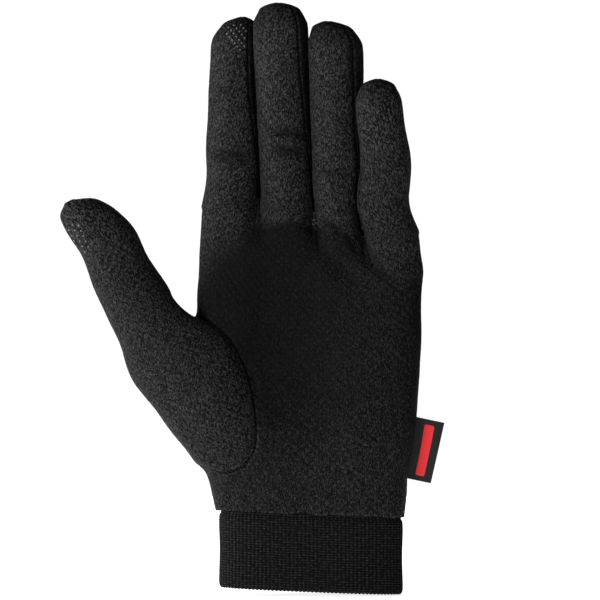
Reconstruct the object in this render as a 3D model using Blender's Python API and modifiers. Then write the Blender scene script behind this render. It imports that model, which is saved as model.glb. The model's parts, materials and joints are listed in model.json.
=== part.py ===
"""A knitted running glove for the left hand, held up by its cuff as a hand fills it.

The glove stands along +Z with the palm towards -Y and the thumb towards -X. The origin is
the centre of the cuff's mouth, where the hand goes in. The hand, the fingers and the thumb
are one continuous outer skin, laid out as a grid of sections. Each panel is its share of that
skin with a wall of cloth behind it, kept a seam's gap from its neighbours.
"""

import math
from dataclasses import dataclass
from typing import NamedTuple

import bmesh
import bpy
from mathutils import Matrix, Vector

MM = 0.001

# Cloth and seams
WALL = 1.2 * MM
SEAM_GAP = 0.3 * MM
MOST_MITRE = 3.0

# The hand, from its hem to the knuckle line
HAND_LENGTH = 124.0 * MM
HEM_WIDTH = 75.6 * MM
PALM_DEPTH = 12.5 * MM
BACK_DEPTH = 13.0 * MM
MOUND_HEIGHT = 3.5 * MM
SLANT = 1.5 * MM
SQUARENESS = 2.6
SCALLOP_FROM = 0.80
SCALLOP_EASE = 1.5

# The fingers: length above the base, width and depth
INDEX_LENGTH = 72.8 * MM
INDEX_WIDTH = 21.6 * MM
INDEX_DEPTH = 17.0 * MM
MIDDLE_LENGTH = 80.4 * MM
MIDDLE_WIDTH = 22.2 * MM
MIDDLE_DEPTH = 18.0 * MM
MIDDLE_PLACE = 9.2 * MM
MIDDLE_LEAN = 3.4 * MM
MIDDLE_BASE_FORWARD = 2.0 * MM
FINGER_CURL = 14.0 * MM
RING_LENGTH = 79.6 * MM
RING_WIDTH = 22.0 * MM
RING_DEPTH = 17.0 * MM
LITTLE_LENGTH = 60.8 * MM
LITTLE_WIDTH = 22.4 * MM
LITTLE_DEPTH = 15.5 * MM
FINGER_CURL_EASE = 1.6
TIP_REACH = 0.55
TIP_BLUNTNESS = 0.45
WEB_DROP = 0.6 * MM
WEB_RISE = 3.0 * MM

# The thumb
THUMB_LENGTH = 50.0 * MM
THUMB_WIDTH = 27.2 * MM
THUMB_DEPTH = 24.0 * MM
THUMB_WEB = 15.0 * MM
THUMB_WEB_SIDE = 4.0 * MM
THUMB_FORWARD = 9.0 * MM
THUMB_TIP_FORWARD = 20.0 * MM
THUMB_LEAN = math.radians(28.7)

# The cuff
CUFF_HEIGHT = 30.6 * MM
CUFF_TUCK = 4.0 * MM
CUFF_WALL = 2.0 * MM
CUFF_CLEARANCE = 0.45 * MM

# The label in the side seam
LABEL_REACH = 9.4 * MM
LABEL_HEIGHT = 25.0 * MM
LABEL_THICKNESS = 1.0 * MM
LABEL_ROUND = 0.25 * MM
LABEL_PLACE = 27.0 * MM
LABEL_GAP = 0.3 * MM
LABEL_STEPS = 8

# Colours and finish
CLOTH_COLOUR = (0.012, 0.012, 0.013)
CLOTH_ROUGHNESS = 0.85
CUFF_COLOUR = (0.008, 0.008, 0.009)
LABEL_COLOUR = (0.45, 0.03, 0.03)
LABEL_ROUGHNESS = 0.6
SHARP_ANGLE = math.radians(40.0)

# How finely the skin is laid out
ARC = 4
HAND_ROWS_BELOW = 3
HAND_ROWS_BESIDE = 8
HOLE_COLUMNS = 3
FAN_RINGS = 6
FINGER_PLAIN_ROWS = 6
TIP_ROWS = (0.62, 0.33, 0.13, 0.0)
ROWS_ABOVE = (0.16, 0.32, 0.47, 0.61, 0.74, 0.86, 0.94, 1.0)


def smooth_step(share: float) -> float:
    """Ease from 0 to 1, level at both ends."""
    share = min(max(share, 0.0), 1.0)
    return share * share * (3.0 - 2.0 * share)


def mix(first, second, share: float):
    """The value a share of the way from the first to the second."""
    return first + (second - first) * share


def read(table, column: str, share: float) -> float:
    """A table's column at a share, on a smooth curve that never overshoots its rows."""
    places = [row[0] for row in table]
    values = [getattr(row, column) for row in table]
    if share <= places[0]:
        return values[0]
    if share >= places[-1]:
        return values[-1]
    slopes = [
        (values[i + 1] - values[i]) / (places[i + 1] - places[i])
        for i in range(len(places) - 1)
    ]

    def tangent(i: int) -> float:
        if i == 0:
            return slopes[0]
        if i == len(slopes):
            return slopes[-1]
        before, after = slopes[i - 1], slopes[i]
        if before * after <= 0.0:
            return 0.0
        return 2.0 * before * after / (before + after)

    i = max(j for j in range(len(slopes)) if places[j] <= share)
    width = places[i + 1] - places[i]
    t = (share - places[i]) / width
    return (
        (1.0 + 2.0 * t) * (1.0 - t) ** 2 * values[i]
        + t * (1.0 - t) ** 2 * width * tangent(i)
        + t * t * (3.0 - 2.0 * t) * values[i + 1]
        + t * t * (t - 1.0) * width * tangent(i + 1)
    )


def curve_through(points: list, count: int) -> list:
    """Points at equal steps along a smooth curve through the given ones."""
    ends = [2 * points[0] - points[1], *points, 2 * points[-1] - points[-2]]
    steps = 24
    fine = [points[0]]
    for i in range(1, len(ends) - 2):
        a, b, c, d = ends[i - 1 : i + 3]
        for step in range(1, steps + 1):
            t = step / steps
            fine.append(
                0.5 * (2 * b + (c - a) * t + (2 * a - 5 * b + 4 * c - d) * t**2
                       + (3 * b - a - 3 * c + d) * t**3)
            )
    reach = [0.0]
    for before, after in zip(fine, fine[1:]):
        reach.append(reach[-1] + (after - before).length)
    spaced = []
    for k in range(count + 1):
        wanted = reach[-1] * k / count
        i = max(j for j in range(len(reach) - 1) if reach[j] <= wanted + 1e-12)
        share = (wanted - reach[i]) / (reach[i + 1] - reach[i])
        spaced.append(fine[i].lerp(fine[i + 1], min(share, 1.0)))
    return spaced


class HandRow(NamedTuple):
    """Sections of the hand by height: shares of the way from hem to knuckles, and of depths."""

    height: float
    left_out: float
    right_out: float
    palm_depth: float
    back_depth: float
    edge_forward: float


HAND = (
    HandRow(0.000, 0.00, 0.00, 1.12, 1.08, 0.00),
    HandRow(0.080, 0.33, 0.15, 1.16, 1.08, 0.10),
    HandRow(0.145, 1.00, 0.23, 1.20, 1.08, 0.20),
    HandRow(0.242, 1.27, 0.65, 1.18, 1.08, 0.40),
    HandRow(0.371, 1.40, 1.00, 1.08, 1.06, 0.65),
    HandRow(0.500, 1.47, 1.23, 0.98, 1.02, 0.85),
    HandRow(0.632, 1.47, 1.35, 0.86, 1.00, 1.00),
    HandRow(0.726, 1.27, 1.30, 0.78, 0.98, 1.00),
    HandRow(0.855, 1.07, 1.27, 0.70, 0.96, 1.00),
    HandRow(0.905, 1.00, 1.08, 0.68, 0.94, 1.00),
    HandRow(1.000, 1.00, 1.00, 0.64, 0.92, 1.00),
)


class Mound(NamedTuple):
    """A swelling or, where the rise is negative, a hollow of the palm."""

    across: float
    height: float
    width: float
    length: float
    rise: float


PALM_MOUNDS = (
    Mound(0.42, 0.48, 0.24, 0.24, -1.15),
    Mound(0.78, 0.30, 0.16, 0.22, 0.55),
    Mound(0.66, 0.86, 0.09, 0.06, -0.60),
    Mound(0.585, 0.84, 0.06, 0.09, 0.45),
    Mound(0.86, 0.84, 0.10, 0.05, 0.40),
    Mound(0.30, 0.86, 0.16, 0.08, 0.35),
)


class SeamPoint(NamedTuple):
    """A point of the thumb's seam on the palm, as shares across and up the hand."""

    across: float
    height: float


THUMB_SEAM = (
    SeamPoint(0.000, 0.632),
    SeamPoint(0.097, 0.590),
    SeamPoint(0.185, 0.519),
    SeamPoint(0.247, 0.410),
    SeamPoint(0.273, 0.290),
    SeamPoint(0.262, 0.203),
    SeamPoint(0.206, 0.148),
    SeamPoint(0.088, 0.126),
    SeamPoint(0.000, 0.152),
)
THUMB_SEAM_BACK = 0.45


class FingerRow(NamedTuple):
    """A finger's section: shares of its width and depth, and its place beside its neighbour.

    The lap is the distance aside and the step the distance forward or back, as shares of the
    two fingers' half widths and half depths. Their squares add up to more than 1 wherever the
    lap is under 1, so that the fingers pass each other.
    """

    height: float
    width: float
    depth: float
    lap: float = 1.0
    step: float = 0.0


class SeamRow(NamedTuple):
    """Where the seam beside a finger's pad lies, in degrees round from the pad's middle."""

    height: float
    angle: float


PAD_SEAM = (
    SeamRow(0.00, 72.0),
    SeamRow(0.25, 57.0),
    SeamRow(0.50, 45.0),
    SeamRow(0.75, 38.0),
    SeamRow(1.00, 36.0),
)
FAR_SEAM = -88.0
STRIP_SPAN = 60.0
SIDE_SEAM = 90.0


@dataclass
class Finger:
    """One finger: a tube of oval sections that lies beside its inner neighbour."""

    length: float
    width: float
    depth: float
    rows: tuple
    base_left: float
    base_right: float
    side: float
    stagger: float
    tip_shift: float
    inner: "Finger | None" = None

    @property
    def base(self) -> float:
        """The height of the middle of the finger's base."""
        return (self.base_left + self.base_right) / 2.0

    @property
    def tip(self) -> float:
        """The height of the fingertip."""
        return self.base + self.length

    def share(self, height: float) -> float:
        """How far up the finger a height lies."""
        return min(max((height - self.base) / self.length, 0.0), 1.0)

    def half_width(self, height: float) -> float:
        """Half the width, before the tip rounds it."""
        return self.width * read(self.rows, "width", self.share(height)) / 2.0

    def half_depth(self, height: float) -> float:
        """Half the depth, before the tip rounds it."""
        return self.depth * read(self.rows, "depth", self.share(height)) / 2.0

    def centre(self, height: float) -> tuple:
        """The middle of the section at a height, as x and y."""
        share = self.share(height)
        if self.inner is None:
            x = -MIDDLE_PLACE - MIDDLE_LEAN * share
            y = -MIDDLE_BASE_FORWARD - FINGER_CURL * share**FINGER_CURL_EASE
            return x, y
        inner_x, inner_y = self.inner.centre(height)
        widths = self.half_width(height) + self.inner.half_width(height)
        depths = self.half_depth(height) + self.inner.half_depth(height)
        x = inner_x + self.side * read(self.rows, "lap", share) * widths
        return x, inner_y + self.stagger * read(self.rows, "step", share) * depths

    def point(self, angle: float, height: float) -> Vector:
        """A point of the outside, at degrees round from the pad's middle and at a height."""
        x, y = self.centre(height)
        into_tip = 1.0 - min(max((self.tip - height) / (TIP_REACH * self.width), 0.0), 1.0)
        left = math.sqrt(1.0 - into_tip**2)
        x += self.tip_shift * self.width * into_tip**2
        turn = math.radians(angle)
        across = self.half_width(height) * mix(TIP_BLUNTNESS, 1.0, left)
        through = self.half_depth(height) * left
        return Vector((x + across * math.sin(turn), y - through * math.cos(turn), height))


def finger_heights(left: float, right: float) -> tuple:
    """Heights of a finger's two base corners, from their drops below the knuckle line."""
    line = CUFF_HEIGHT + HAND_LENGTH
    return line - left * HAND_LENGTH, line - right * HAND_LENGTH


MIDDLE = Finger(
    MIDDLE_LENGTH, MIDDLE_WIDTH, MIDDLE_DEPTH,
    (
        FingerRow(0.00, 0.98, 1.12),
        FingerRow(0.25, 0.98, 1.04),
        FingerRow(0.50, 0.98, 1.00),
        FingerRow(0.75, 1.00, 0.94),
        FingerRow(1.00, 1.00, 0.88),
    ),
    *finger_heights(-0.032, 0.018), side=0.0, stagger=0.0, tip_shift=0.0,
)
INDEX = Finger(
    INDEX_LENGTH, INDEX_WIDTH, INDEX_DEPTH,
    (
        FingerRow(0.00, 1.03, 1.15, 1.060, 0.10),
        FingerRow(0.10, 1.02, 1.11, 1.000, 0.18),
        FingerRow(0.25, 0.98, 1.06, 0.990, 0.23),
        FingerRow(0.55, 0.92, 1.00, 0.980, 0.28),
        FingerRow(0.78, 0.86, 0.94, 0.945, 0.38),
        FingerRow(1.00, 0.82, 0.88, 0.920, 0.44),
    ),
    *finger_heights(-0.010, -0.032), side=-1.0, stagger=1.0, tip_shift=0.11, inner=MIDDLE,
)
RING = Finger(
    RING_LENGTH, RING_WIDTH, RING_DEPTH,
    (
        FingerRow(0.00, 0.82, 1.15, 1.040, 0.07),
        FingerRow(0.12, 0.85, 1.09, 1.000, 0.18),
        FingerRow(0.25, 0.89, 1.05, 0.985, 0.25),
        FingerRow(0.57, 0.96, 1.00, 0.990, 0.24),
        FingerRow(0.79, 1.00, 0.94, 0.990, 0.24),
        FingerRow(1.00, 1.00, 0.88, 0.990, 0.24),
    ),
    *finger_heights(0.018, 0.089), side=1.0, stagger=-1.0, tip_shift=-0.09, inner=MIDDLE,
)
LITTLE = Finger(
    LITTLE_LENGTH, LITTLE_WIDTH, LITTLE_DEPTH,
    (
        FingerRow(0.00, 0.97, 1.20, 1.030, 0.10),
        FingerRow(0.14, 0.96, 1.10, 1.000, 0.18),
        FingerRow(0.47, 0.90, 1.00, 0.970, 0.31),
        FingerRow(0.74, 0.85, 0.94, 0.867, 0.54),
        FingerRow(1.00, 0.80, 0.88, 0.833, 0.59),
    ),
    *finger_heights(0.089, 0.075), side=1.0, stagger=-1.0, tip_shift=0.0, inner=RING,
)
FINGERS = (INDEX, MIDDLE, RING, LITTLE)
STRIPS = ("fourchette_index_middle", "fourchette_middle_ring", "fourchette_ring_little")
COLUMNS = len(FINGERS) * ARC + 2 * (len(FINGERS) - 1)


class Skin:
    """The whole outer surface: shared points, and faces that each belong to a panel."""

    def __init__(self):
        self.points = []
        self.faces = []

    def point(self, place: Vector) -> int:
        """Add a point and give its number."""
        self.points.append(Vector(place))
        return len(self.points) - 1

    def face(self, panel: str, *corners: int):
        """Add a face, leaving out corners that coincide."""
        kept = [c for i, c in enumerate(corners) if c != corners[i - 1]]
        if len(kept) > 2:
            self.faces.append((panel, kept))

    def strip(self, panel: str, lower: list, upper: list):
        """Join two rows of points with faces."""
        for i in range(len(lower) - 1):
            self.face(panel, lower[i], lower[i + 1], upper[i + 1], upper[i])


def pad_angles(finger: Finger, share: float) -> tuple:
    """The seams beside the pad: degrees of the left and the right one."""
    left = -SIDE_SEAM if finger is INDEX else FAR_SEAM
    right = SIDE_SEAM if finger is LITTLE else read(PAD_SEAM, "angle", share)
    return left, right


def back_angles(finger: Finger, share: float) -> tuple:
    """The seams beside the finger's back, left and right, in degrees past the pad's seams."""
    left, right = pad_angles(finger, share)
    left = left if finger is INDEX else left - STRIP_SPAN
    right = right if finger is LITTLE else right + STRIP_SPAN
    return left + 360.0, right


def finger_rows(finger: Finger) -> list:
    """Shares of the height of a finger's rows, closer together at the rounded tip."""
    reach = TIP_REACH * finger.width / finger.length
    plain = [(1.0 - reach) * row / FINGER_PLAIN_ROWS for row in range(FINGER_PLAIN_ROWS + 1)]
    return plain + [1.0 - reach * left for left in TIP_ROWS]


def finger_height(finger: Finger, across: float, share: float) -> float:
    """The height of a point of a row: the base is slanted and the tip is level."""
    base = mix(finger.base_left, finger.base_right, across)
    return mix(base, finger.tip, share)


def finger_ring(finger: Finger, share: float) -> tuple:
    """One row of a finger: points of the pad and of the back, left to right, and of the sides."""
    pad_left, pad_right = pad_angles(finger, share)
    back_left, back_right = back_angles(finger, share)
    pad, back = [], []
    for step in range(ARC + 1):
        across = step / ARC
        height = finger_height(finger, across, share)
        pad.append(finger.point(mix(pad_left, pad_right, across), height))
        back.append(finger.point(mix(back_left, back_right, across), height))
    if share >= 1.0:
        line = [a.lerp(b, 0.5) for a, b in zip(pad, back)]
        return line, line, line[0], line[-1]
    rise = WEB_RISE * (1.0 - share) ** 4
    left_height = finger_height(finger, 0.0, share) + rise
    right_height = finger_height(finger, 1.0, share) + rise
    left = finger.point((pad_left + back_left - 360.0) / 2.0, left_height)
    right = finger.point((pad_right + back_right) / 2.0, right_height)
    return pad, back, left, right


def knuckle_row(side: int) -> list:
    """The top row of the hand, across the bases of the fingers and the webs between them."""
    rows = [finger_ring(finger, 0.0)[side] for finger in FINGERS]
    points = list(rows[0])
    for row in rows[1:]:
        web = points[-1].lerp(row[0], 0.5)
        web.z -= WEB_DROP
        points += [web, *row]
    return points


PALM_TOP = knuckle_row(0)
BACK_TOP = knuckle_row(1)


def edge(height: float) -> tuple:
    """The hand's two side seams at a height share: x of the left and right one, and their y."""
    hem = HEM_WIDTH / 2.0
    left = -mix(hem, -PALM_TOP[0].x, read(HAND, "left_out", height))
    right = mix(hem, PALM_TOP[-1].x, read(HAND, "right_out", height))
    forward = read(HAND, "edge_forward", height)
    return left, right, PALM_TOP[0].y * forward, PALM_TOP[-1].y * forward


def swelling(across: float, height: float) -> float:
    """How far the palm's mounds and hollows move its surface forward."""
    total = 0.0
    for mound in PALM_MOUNDS:
        aside = (across - mound.across) / mound.width
        along = (height - mound.height) / mound.length
        total += mound.rise * math.exp(-aside * aside - along * along)
    return total * MOUND_HEIGHT


def line_height(across: float, top: list) -> float:
    """The knuckle line's height above a place across the hand."""
    left, right = top[0].x, top[-1].x
    x = mix(left, right, across)
    for before, after in zip(top, top[1:]):
        if before.x <= x <= after.x:
            share = (x - before.x) / (after.x - before.x)
            return mix(before.z, after.z, share)
    return top[-1].z if across > 0.5 else top[0].z


def hand_point(across: float, height: float, palm: bool) -> Vector:
    """A point of the palm or the back, from its shares across and up the hand."""
    left, right, left_y, right_y = edge(height)
    aside = min(abs(2.0 * across - 1.0), 1.0)
    bow = (1.0 - aside**SQUARENESS) ** (1.0 / SQUARENESS)
    y = mix(left_y, right_y, across)
    if palm:
        depth = PALM_DEPTH * read(HAND, "palm_depth", height)
        y -= bow * (depth + swelling(across, height))
    else:
        y += bow * BACK_DEPTH * read(HAND, "back_depth", height)
    top = line_height(across, PALM_TOP if palm else BACK_TOP)
    slant = SLANT * (1.0 - 2.0 * across) * (1.0 - height)
    z = mix(CUFF_HEIGHT, top, height) + slant
    return Vector((mix(left, right, across), y, z))


def column_share(column: int) -> float:
    """Places of the columns across the hem, a little closer together at the sides."""
    even = column / COLUMNS
    return mix(even, (1.0 - math.cos(math.pi * even)) / 2.0, 0.5)


def thumb_seam(back: bool) -> list:
    """The thumb's seam from crotch to wrist, as shares across and up, at equal steps."""
    squeeze = THUMB_SEAM_BACK if back else 1.0
    wide = PALM_TOP[-1].x - PALM_TOP[0].x
    points = [Vector((p.across * squeeze * wide, p.height * HAND_LENGTH)) for p in THUMB_SEAM]
    spaced = curve_through(points, 2 * HOLE_COLUMNS + HAND_ROWS_BESIDE)
    return [SeamPoint(p.x / wide, p.y / HAND_LENGTH) for p in spaced]


def hand_layout(back: bool) -> list:
    """Shares across and up for each row and column of the palm or the back."""
    seam = thumb_seam(back)
    last = len(seam) - 1
    top = BACK_TOP if back else PALM_TOP
    wide = top[-1].x - top[0].x
    low, high = THUMB_SEAM[-1].height, THUMB_SEAM[0].height

    def beside(row: int) -> list:
        """A row beside the thumb: it starts on the seam, or runs along its end."""
        k = last - HOLE_COLUMNS - row
        level = mix(low, high, row / HAND_ROWS_BESIDE)
        start = column_share(HOLE_COLUMNS)
        cells = []
        for column in range(COLUMNS + 1):
            if column < HOLE_COLUMNS:
                if row == 0:
                    cells.append(seam[last - column])
                else:
                    cells.append(seam[column] if row == HAND_ROWS_BESIDE else None)
                continue
            share = (column_share(column) - start) / (1.0 - start)
            across = mix(seam[k].across, 1.0, share)
            fade = (1.0 - share) ** 2
            cells.append(SeamPoint(across, mix(level, seam[k].height, fade)))
        return cells

    middle = [beside(row) for row in range(HAND_ROWS_BESIDE + 1)]
    hem = [SeamPoint(column_share(c), 0.0) for c in range(COLUMNS + 1)]
    line = [SeamPoint((p.x - top[0].x) / wide, 1.0) for p in top]
    rows = []
    for row in range(HAND_ROWS_BELOW):
        share = row / HAND_ROWS_BELOW
        rows.append([between(a, b, share) for a, b in zip(hem, middle[0])])
    rows += middle
    rows += [[between(a, b, share) for a, b in zip(middle[-1], line)] for share in ROWS_ABOVE]
    return rows


def between(first: SeamPoint, second: SeamPoint, share: float) -> SeamPoint:
    """A place between two others, in shares of the hand."""
    return SeamPoint(
        mix(first.across, second.across, share), mix(first.height, second.height, share)
    )


def lay_hand(skin: Skin) -> tuple:
    """Lay the palm and the back, and give their grids of point numbers."""
    grids = []
    for back in (False, True):
        top = BACK_TOP if back else PALM_TOP
        layout = hand_layout(back)
        grid = []
        for r, row in enumerate(layout):
            numbers = []
            for c, cell in enumerate(row):
                if cell is None:
                    numbers.append(None)
                    continue
                if back and c in (0, COLUMNS):
                    numbers.append(grids[0][r][c])
                    continue
                if r == len(layout) - 1:
                    numbers.append(skin.point(top[c]))
                    continue
                place = hand_point(cell.across, cell.height, not back)
                scallop = smooth_step((cell.height - SCALLOP_FROM) / (1.0 - SCALLOP_FROM))
                place.y = mix(place.y, top[c].y, scallop**SCALLOP_EASE)
                numbers.append(skin.point(place))
            grid.append(numbers)
        grids.append(grid)
        panel = "back_panel" if back else "palm_panel"
        for r, (lower, upper) in enumerate(zip(grid, grid[1:])):
            first = HOLE_COLUMNS if is_beside(r) else 0
            skin.strip(panel, lower[first:], upper[first:])
    return tuple(grids)


def is_beside(row: int) -> bool:
    """Whether the faces above a row are beside the thumb's hole."""
    return HAND_ROWS_BELOW <= row < HAND_ROWS_BELOW + HAND_ROWS_BESIDE


def lay_fingers(skin: Skin, palm: list, back: list):
    """Lay the four fingers on the top row of the hand, with the strips between them."""
    palm_top, back_top = palm[-1], back[-1]
    sides = []
    for place, finger in enumerate(FINGERS):
        start = place * (ARC + 2)
        pad = palm_top[start : start + ARC + 1]
        rear = back_top[start : start + ARC + 1]
        _, _, left_place, right_place = finger_ring(finger, 0.0)
        left = pad[0] if finger is INDEX else skin.point(left_place)
        right = pad[-1] if finger is LITTLE else skin.point(right_place)
        sides.append((left, right))
        for share in finger_rows(finger)[1:]:
            new = lay_ring(skin, finger, share)
            skin.strip("palm_panel", pad, new[0])
            skin.strip("back_panel", new[1], rear)
            if finger is not INDEX:
                panel = STRIPS[place - 1]
                skin.strip(panel, [rear[0], left, pad[0]], [new[1][0], new[2], new[0][0]])
            if finger is not LITTLE:
                panel = STRIPS[place]
                skin.strip(panel, [pad[-1], right, rear[-1]], [new[0][-1], new[3], new[1][-1]])
            pad, rear, left, right = new
    for place, panel in enumerate(STRIPS):
        corner = place * (ARC + 2) + ARC
        right, left = sides[place][1], sides[place + 1][0]
        middle = skin.points[right].lerp(skin.points[left], 0.5)
        middle.z -= WEB_DROP
        web = skin.point(middle)
        rows = [
            palm_top[corner : corner + 3],
            [right, web, left],
            back_top[corner : corner + 3],
        ]
        for front, behind in zip(rows, rows[1:]):
            skin.strip(panel, front, behind)


def lay_ring(skin: Skin, finger: Finger, share: float) -> tuple:
    """Add one row of a finger, and give its numbers: pad, back, left side, right side."""
    pad, back, left, right = finger_ring(finger, share)
    if share >= 1.0:
        line = [skin.point(p) for p in pad]
        if finger is INDEX:
            line[0] = line[1]
        if finger is LITTLE:
            line[-1] = line[-2]
        return line, line, line[0], line[-1]
    front = [skin.point(p) for p in pad]
    rear = [skin.point(p) for p in back]
    if finger is INDEX:
        rear[0] = front[0]
    if finger is LITTLE:
        rear[-1] = front[-1]
    left_side = front[0] if finger is INDEX else skin.point(left)
    right_side = front[-1] if finger is LITTLE else skin.point(right)
    return front, rear, left_side, right_side


class ThumbRow(NamedTuple):
    """A section of the free thumb: its bend and shares of its width and depth."""

    height: float
    width: float
    depth: float
    bend: float


THUMB = (
    ThumbRow(0.00, 1.000, 1.00, 0.000),
    ThumbRow(0.28, 0.925, 0.92, 0.000),
    ThumbRow(0.55, 0.866, 0.84, 0.028),
    ThumbRow(0.76, 0.790, 0.74, -0.004),
    ThumbRow(0.91, 0.600, 0.54, -0.052),
    ThumbRow(1.00, 0.240, 0.00, -0.120),
)
THUMB_ROWS = (0.14, 0.28, 0.42, 0.55, 0.67, 0.77, 0.86, 0.93, 0.975, 1.0)


class BulgeRow(NamedTuple):
    """How the thumb's base swells on its way from the seam, by the share round it."""

    around: float
    bulge: float


THUMB_BULGE = (
    BulgeRow(0.00, -0.80),
    BulgeRow(0.25, 0.90),
    BulgeRow(0.50, 0.85),
    BulgeRow(0.75, 0.40),
    BulgeRow(1.00, -0.80),
)


class ThumbFrame:
    """The thumb's own directions, and its sections."""

    def __init__(self, crotch: Vector):
        forward = math.atan2(THUMB_TIP_FORWARD - THUMB_FORWARD, THUMB_LENGTH)
        lean, tilt = THUMB_LEAN, forward
        self.axis = Vector(
            (-math.sin(lean) * math.cos(tilt), -math.sin(tilt), math.cos(lean) * math.cos(tilt))
        )
        self.aside = Vector((math.cos(lean), 0.0, math.sin(lean)))
        self.front = self.aside.cross(self.axis).normalized()
        if self.front.y > 0.0:
            self.front.negate()
        reach = THUMB_WIDTH / 2.0 + THUMB_WEB_SIDE
        up = Vector((-math.sin(lean), 0.0, math.cos(lean)))
        self.start = crotch + up * THUMB_WEB - self.aside * reach
        self.start.y = -THUMB_FORWARD

    def section(self, share: float, count: int) -> list:
        """A ring of points round the thumb, from the side that faces the index finger."""
        bend = read(THUMB, "bend", share) * THUMB_LENGTH
        centre = self.start + self.axis * (share * THUMB_LENGTH) + self.aside * bend
        across = THUMB_WIDTH * read(THUMB, "width", share) / 2.0
        through = THUMB_DEPTH * read(THUMB, "depth", share) / 2.0
        ring = []
        for k in range(count):
            turn = math.tau * k / count
            sideways = self.aside * (across * math.cos(turn))
            ring.append(centre + sideways + self.front * (through * math.sin(turn)))
        return ring


def lay_thumb(skin: Skin, palm: list, back: list):
    """Lay the thumb from the seam in the hand to its rounded tip."""
    top = HAND_ROWS_BELOW + HAND_ROWS_BESIDE
    low = HAND_ROWS_BELOW

    def rim(grid: list) -> list:
        """The hole's edge in a grid, from the crotch down to the wrist."""
        along_top = [grid[top][c] for c in range(HOLE_COLUMNS + 1)]
        down = [grid[r][HOLE_COLUMNS] for r in range(top - 1, low, -1)]
        along_low = [grid[low][c] for c in range(HOLE_COLUMNS, -1, -1)]
        return along_top + down + along_low

    ring = rim(palm) + rim(back)[-2:0:-1]
    count = len(ring)
    frame = ThumbFrame(skin.points[ring[0]])
    target = frame.section(0.0, count)
    seam = [skin.points[number].copy() for number in ring]
    for step in range(1, FAN_RINGS + 1):
        t = step / FAN_RINGS
        new = []
        for k in range(count):
            turn = math.tau * k / count
            outward = frame.aside * math.cos(turn) + frame.front * math.sin(turn)
            chord = target[k] - seam[k]
            bulge = read(THUMB_BULGE, "bulge", k / count) * THUMB_WIDTH
            leave = chord + outward * bulge
            arrive = frame.axis * chord.length
            place = (
                seam[k] * ((1 + 2 * t) * (1 - t) ** 2)
                + leave * (t * (1 - t) ** 2)
                + target[k] * (t * t * (3 - 2 * t))
                + arrive * (t * t * (t - 1))
            )
            new.append(skin.point(place))
        skin.strip("thumb", ring + ring[:1], new + new[:1])
        ring = new
    for share in THUMB_ROWS:
        points = frame.section(share, count)
        if share < 1.0:
            new = [skin.point(p) for p in points]
        else:
            half = count // 2
            line = [skin.point(points[k]) for k in range(1, half)]
            new = [line[0], *line, line[-1], *line[::-1]]
        skin.strip("thumb", ring + ring[:1], new + new[:1])
        ring = new


def whole_skin() -> Skin:
    """The outer surface of the hand, the fingers and the thumb."""
    skin = Skin()
    palm, back = lay_hand(skin)
    lay_fingers(skin, palm, back)
    lay_thumb(skin, palm, back)
    return skin


def inner_points(skin: Skin) -> tuple:
    """The skin with its faces turned outward, and the points one wall's thickness inside it."""
    mesh = bmesh.new()
    for place in skin.points:
        mesh.verts.new(place)
    mesh.verts.ensure_lookup_table()
    for panel, corners in skin.faces:
        mesh.faces.new([mesh.verts[c] for c in corners])
    bmesh.ops.recalc_face_normals(mesh, faces=mesh.faces)
    mesh.normal_update()
    mesh.faces.ensure_lookup_table()
    origin = skin.points[0]
    outward = sum(f.calc_area() * f.normal.dot(f.calc_center_median() - origin) for f in mesh.faces)
    turned = []
    for (panel, corners), face in zip(skin.faces, mesh.faces):
        order = [vert.index for vert in face.verts]
        turned.append((panel, order if outward > 0.0 else order[::-1]))
    inside = []
    for vert in mesh.verts:
        normal = vert.normal.copy() if outward > 0.0 else -vert.normal
        if vert.is_boundary:
            normal.z = 0.0
            normal.normalize()
        inside.append(vert.co - normal * WALL)
    mesh.free()
    return turned, inside


def inset_moves(faces: list, points: list) -> dict:
    """For each point on a panel's edge, the move that draws it half a seam's gap inwards."""
    uses = {}
    for corners in faces:
        for i, corner in enumerate(corners):
            pair = (corners[i - 1], corner)
            uses.setdefault(frozenset(pair), []).append((pair, corners))
    inwards = {}
    for found in uses.values():
        if len(found) > 1:
            continue
        (start, end), corners = found[0]
        run = (points[end] - points[start]).normalized()
        middle = sum((points[c] for c in corners), Vector()) / len(corners)
        aside = middle - points[start]
        aside = (aside - run * aside.dot(run)).normalized()
        inwards.setdefault(start, []).append(aside)
        inwards.setdefault(end, []).append(aside)
    moves = {}
    for corner, directions in inwards.items():
        total = sum(directions, Vector())
        if total.length < 1e-6:
            moves[corner] = Vector()
            continue
        facing = min(total.normalized().dot(d) for d in directions)
        stretch = min(1.0 / max(facing, 1e-3), MOST_MITRE)
        moves[corner] = total.normalized() * (stretch * SEAM_GAP / 2.0)
    return moves


def add_object(name: str, mesh: bmesh.types.BMesh, colour: tuple, roughness: float):
    """Make a named object of a finished mesh, in the glove's collection, with its material."""
    data = bpy.data.meshes.new(name)
    mesh.to_mesh(data)
    mesh.free()
    data.shade_smooth()
    data.set_sharp_from_angle(angle=SHARP_ANGLE)
    material = bpy.data.materials.new(name)
    material.use_nodes = True
    shader = material.node_tree.nodes["Principled BSDF"]
    shader.inputs["Base Color"].default_value = (*colour, 1.0)
    shader.inputs["Roughness"].default_value = roughness
    shader.inputs["Metallic"].default_value = 0.0
    data.materials.append(material)
    made = bpy.data.objects.new(name, data)
    bpy.data.collections["running_glove"].objects.link(made)
    return made


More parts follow.
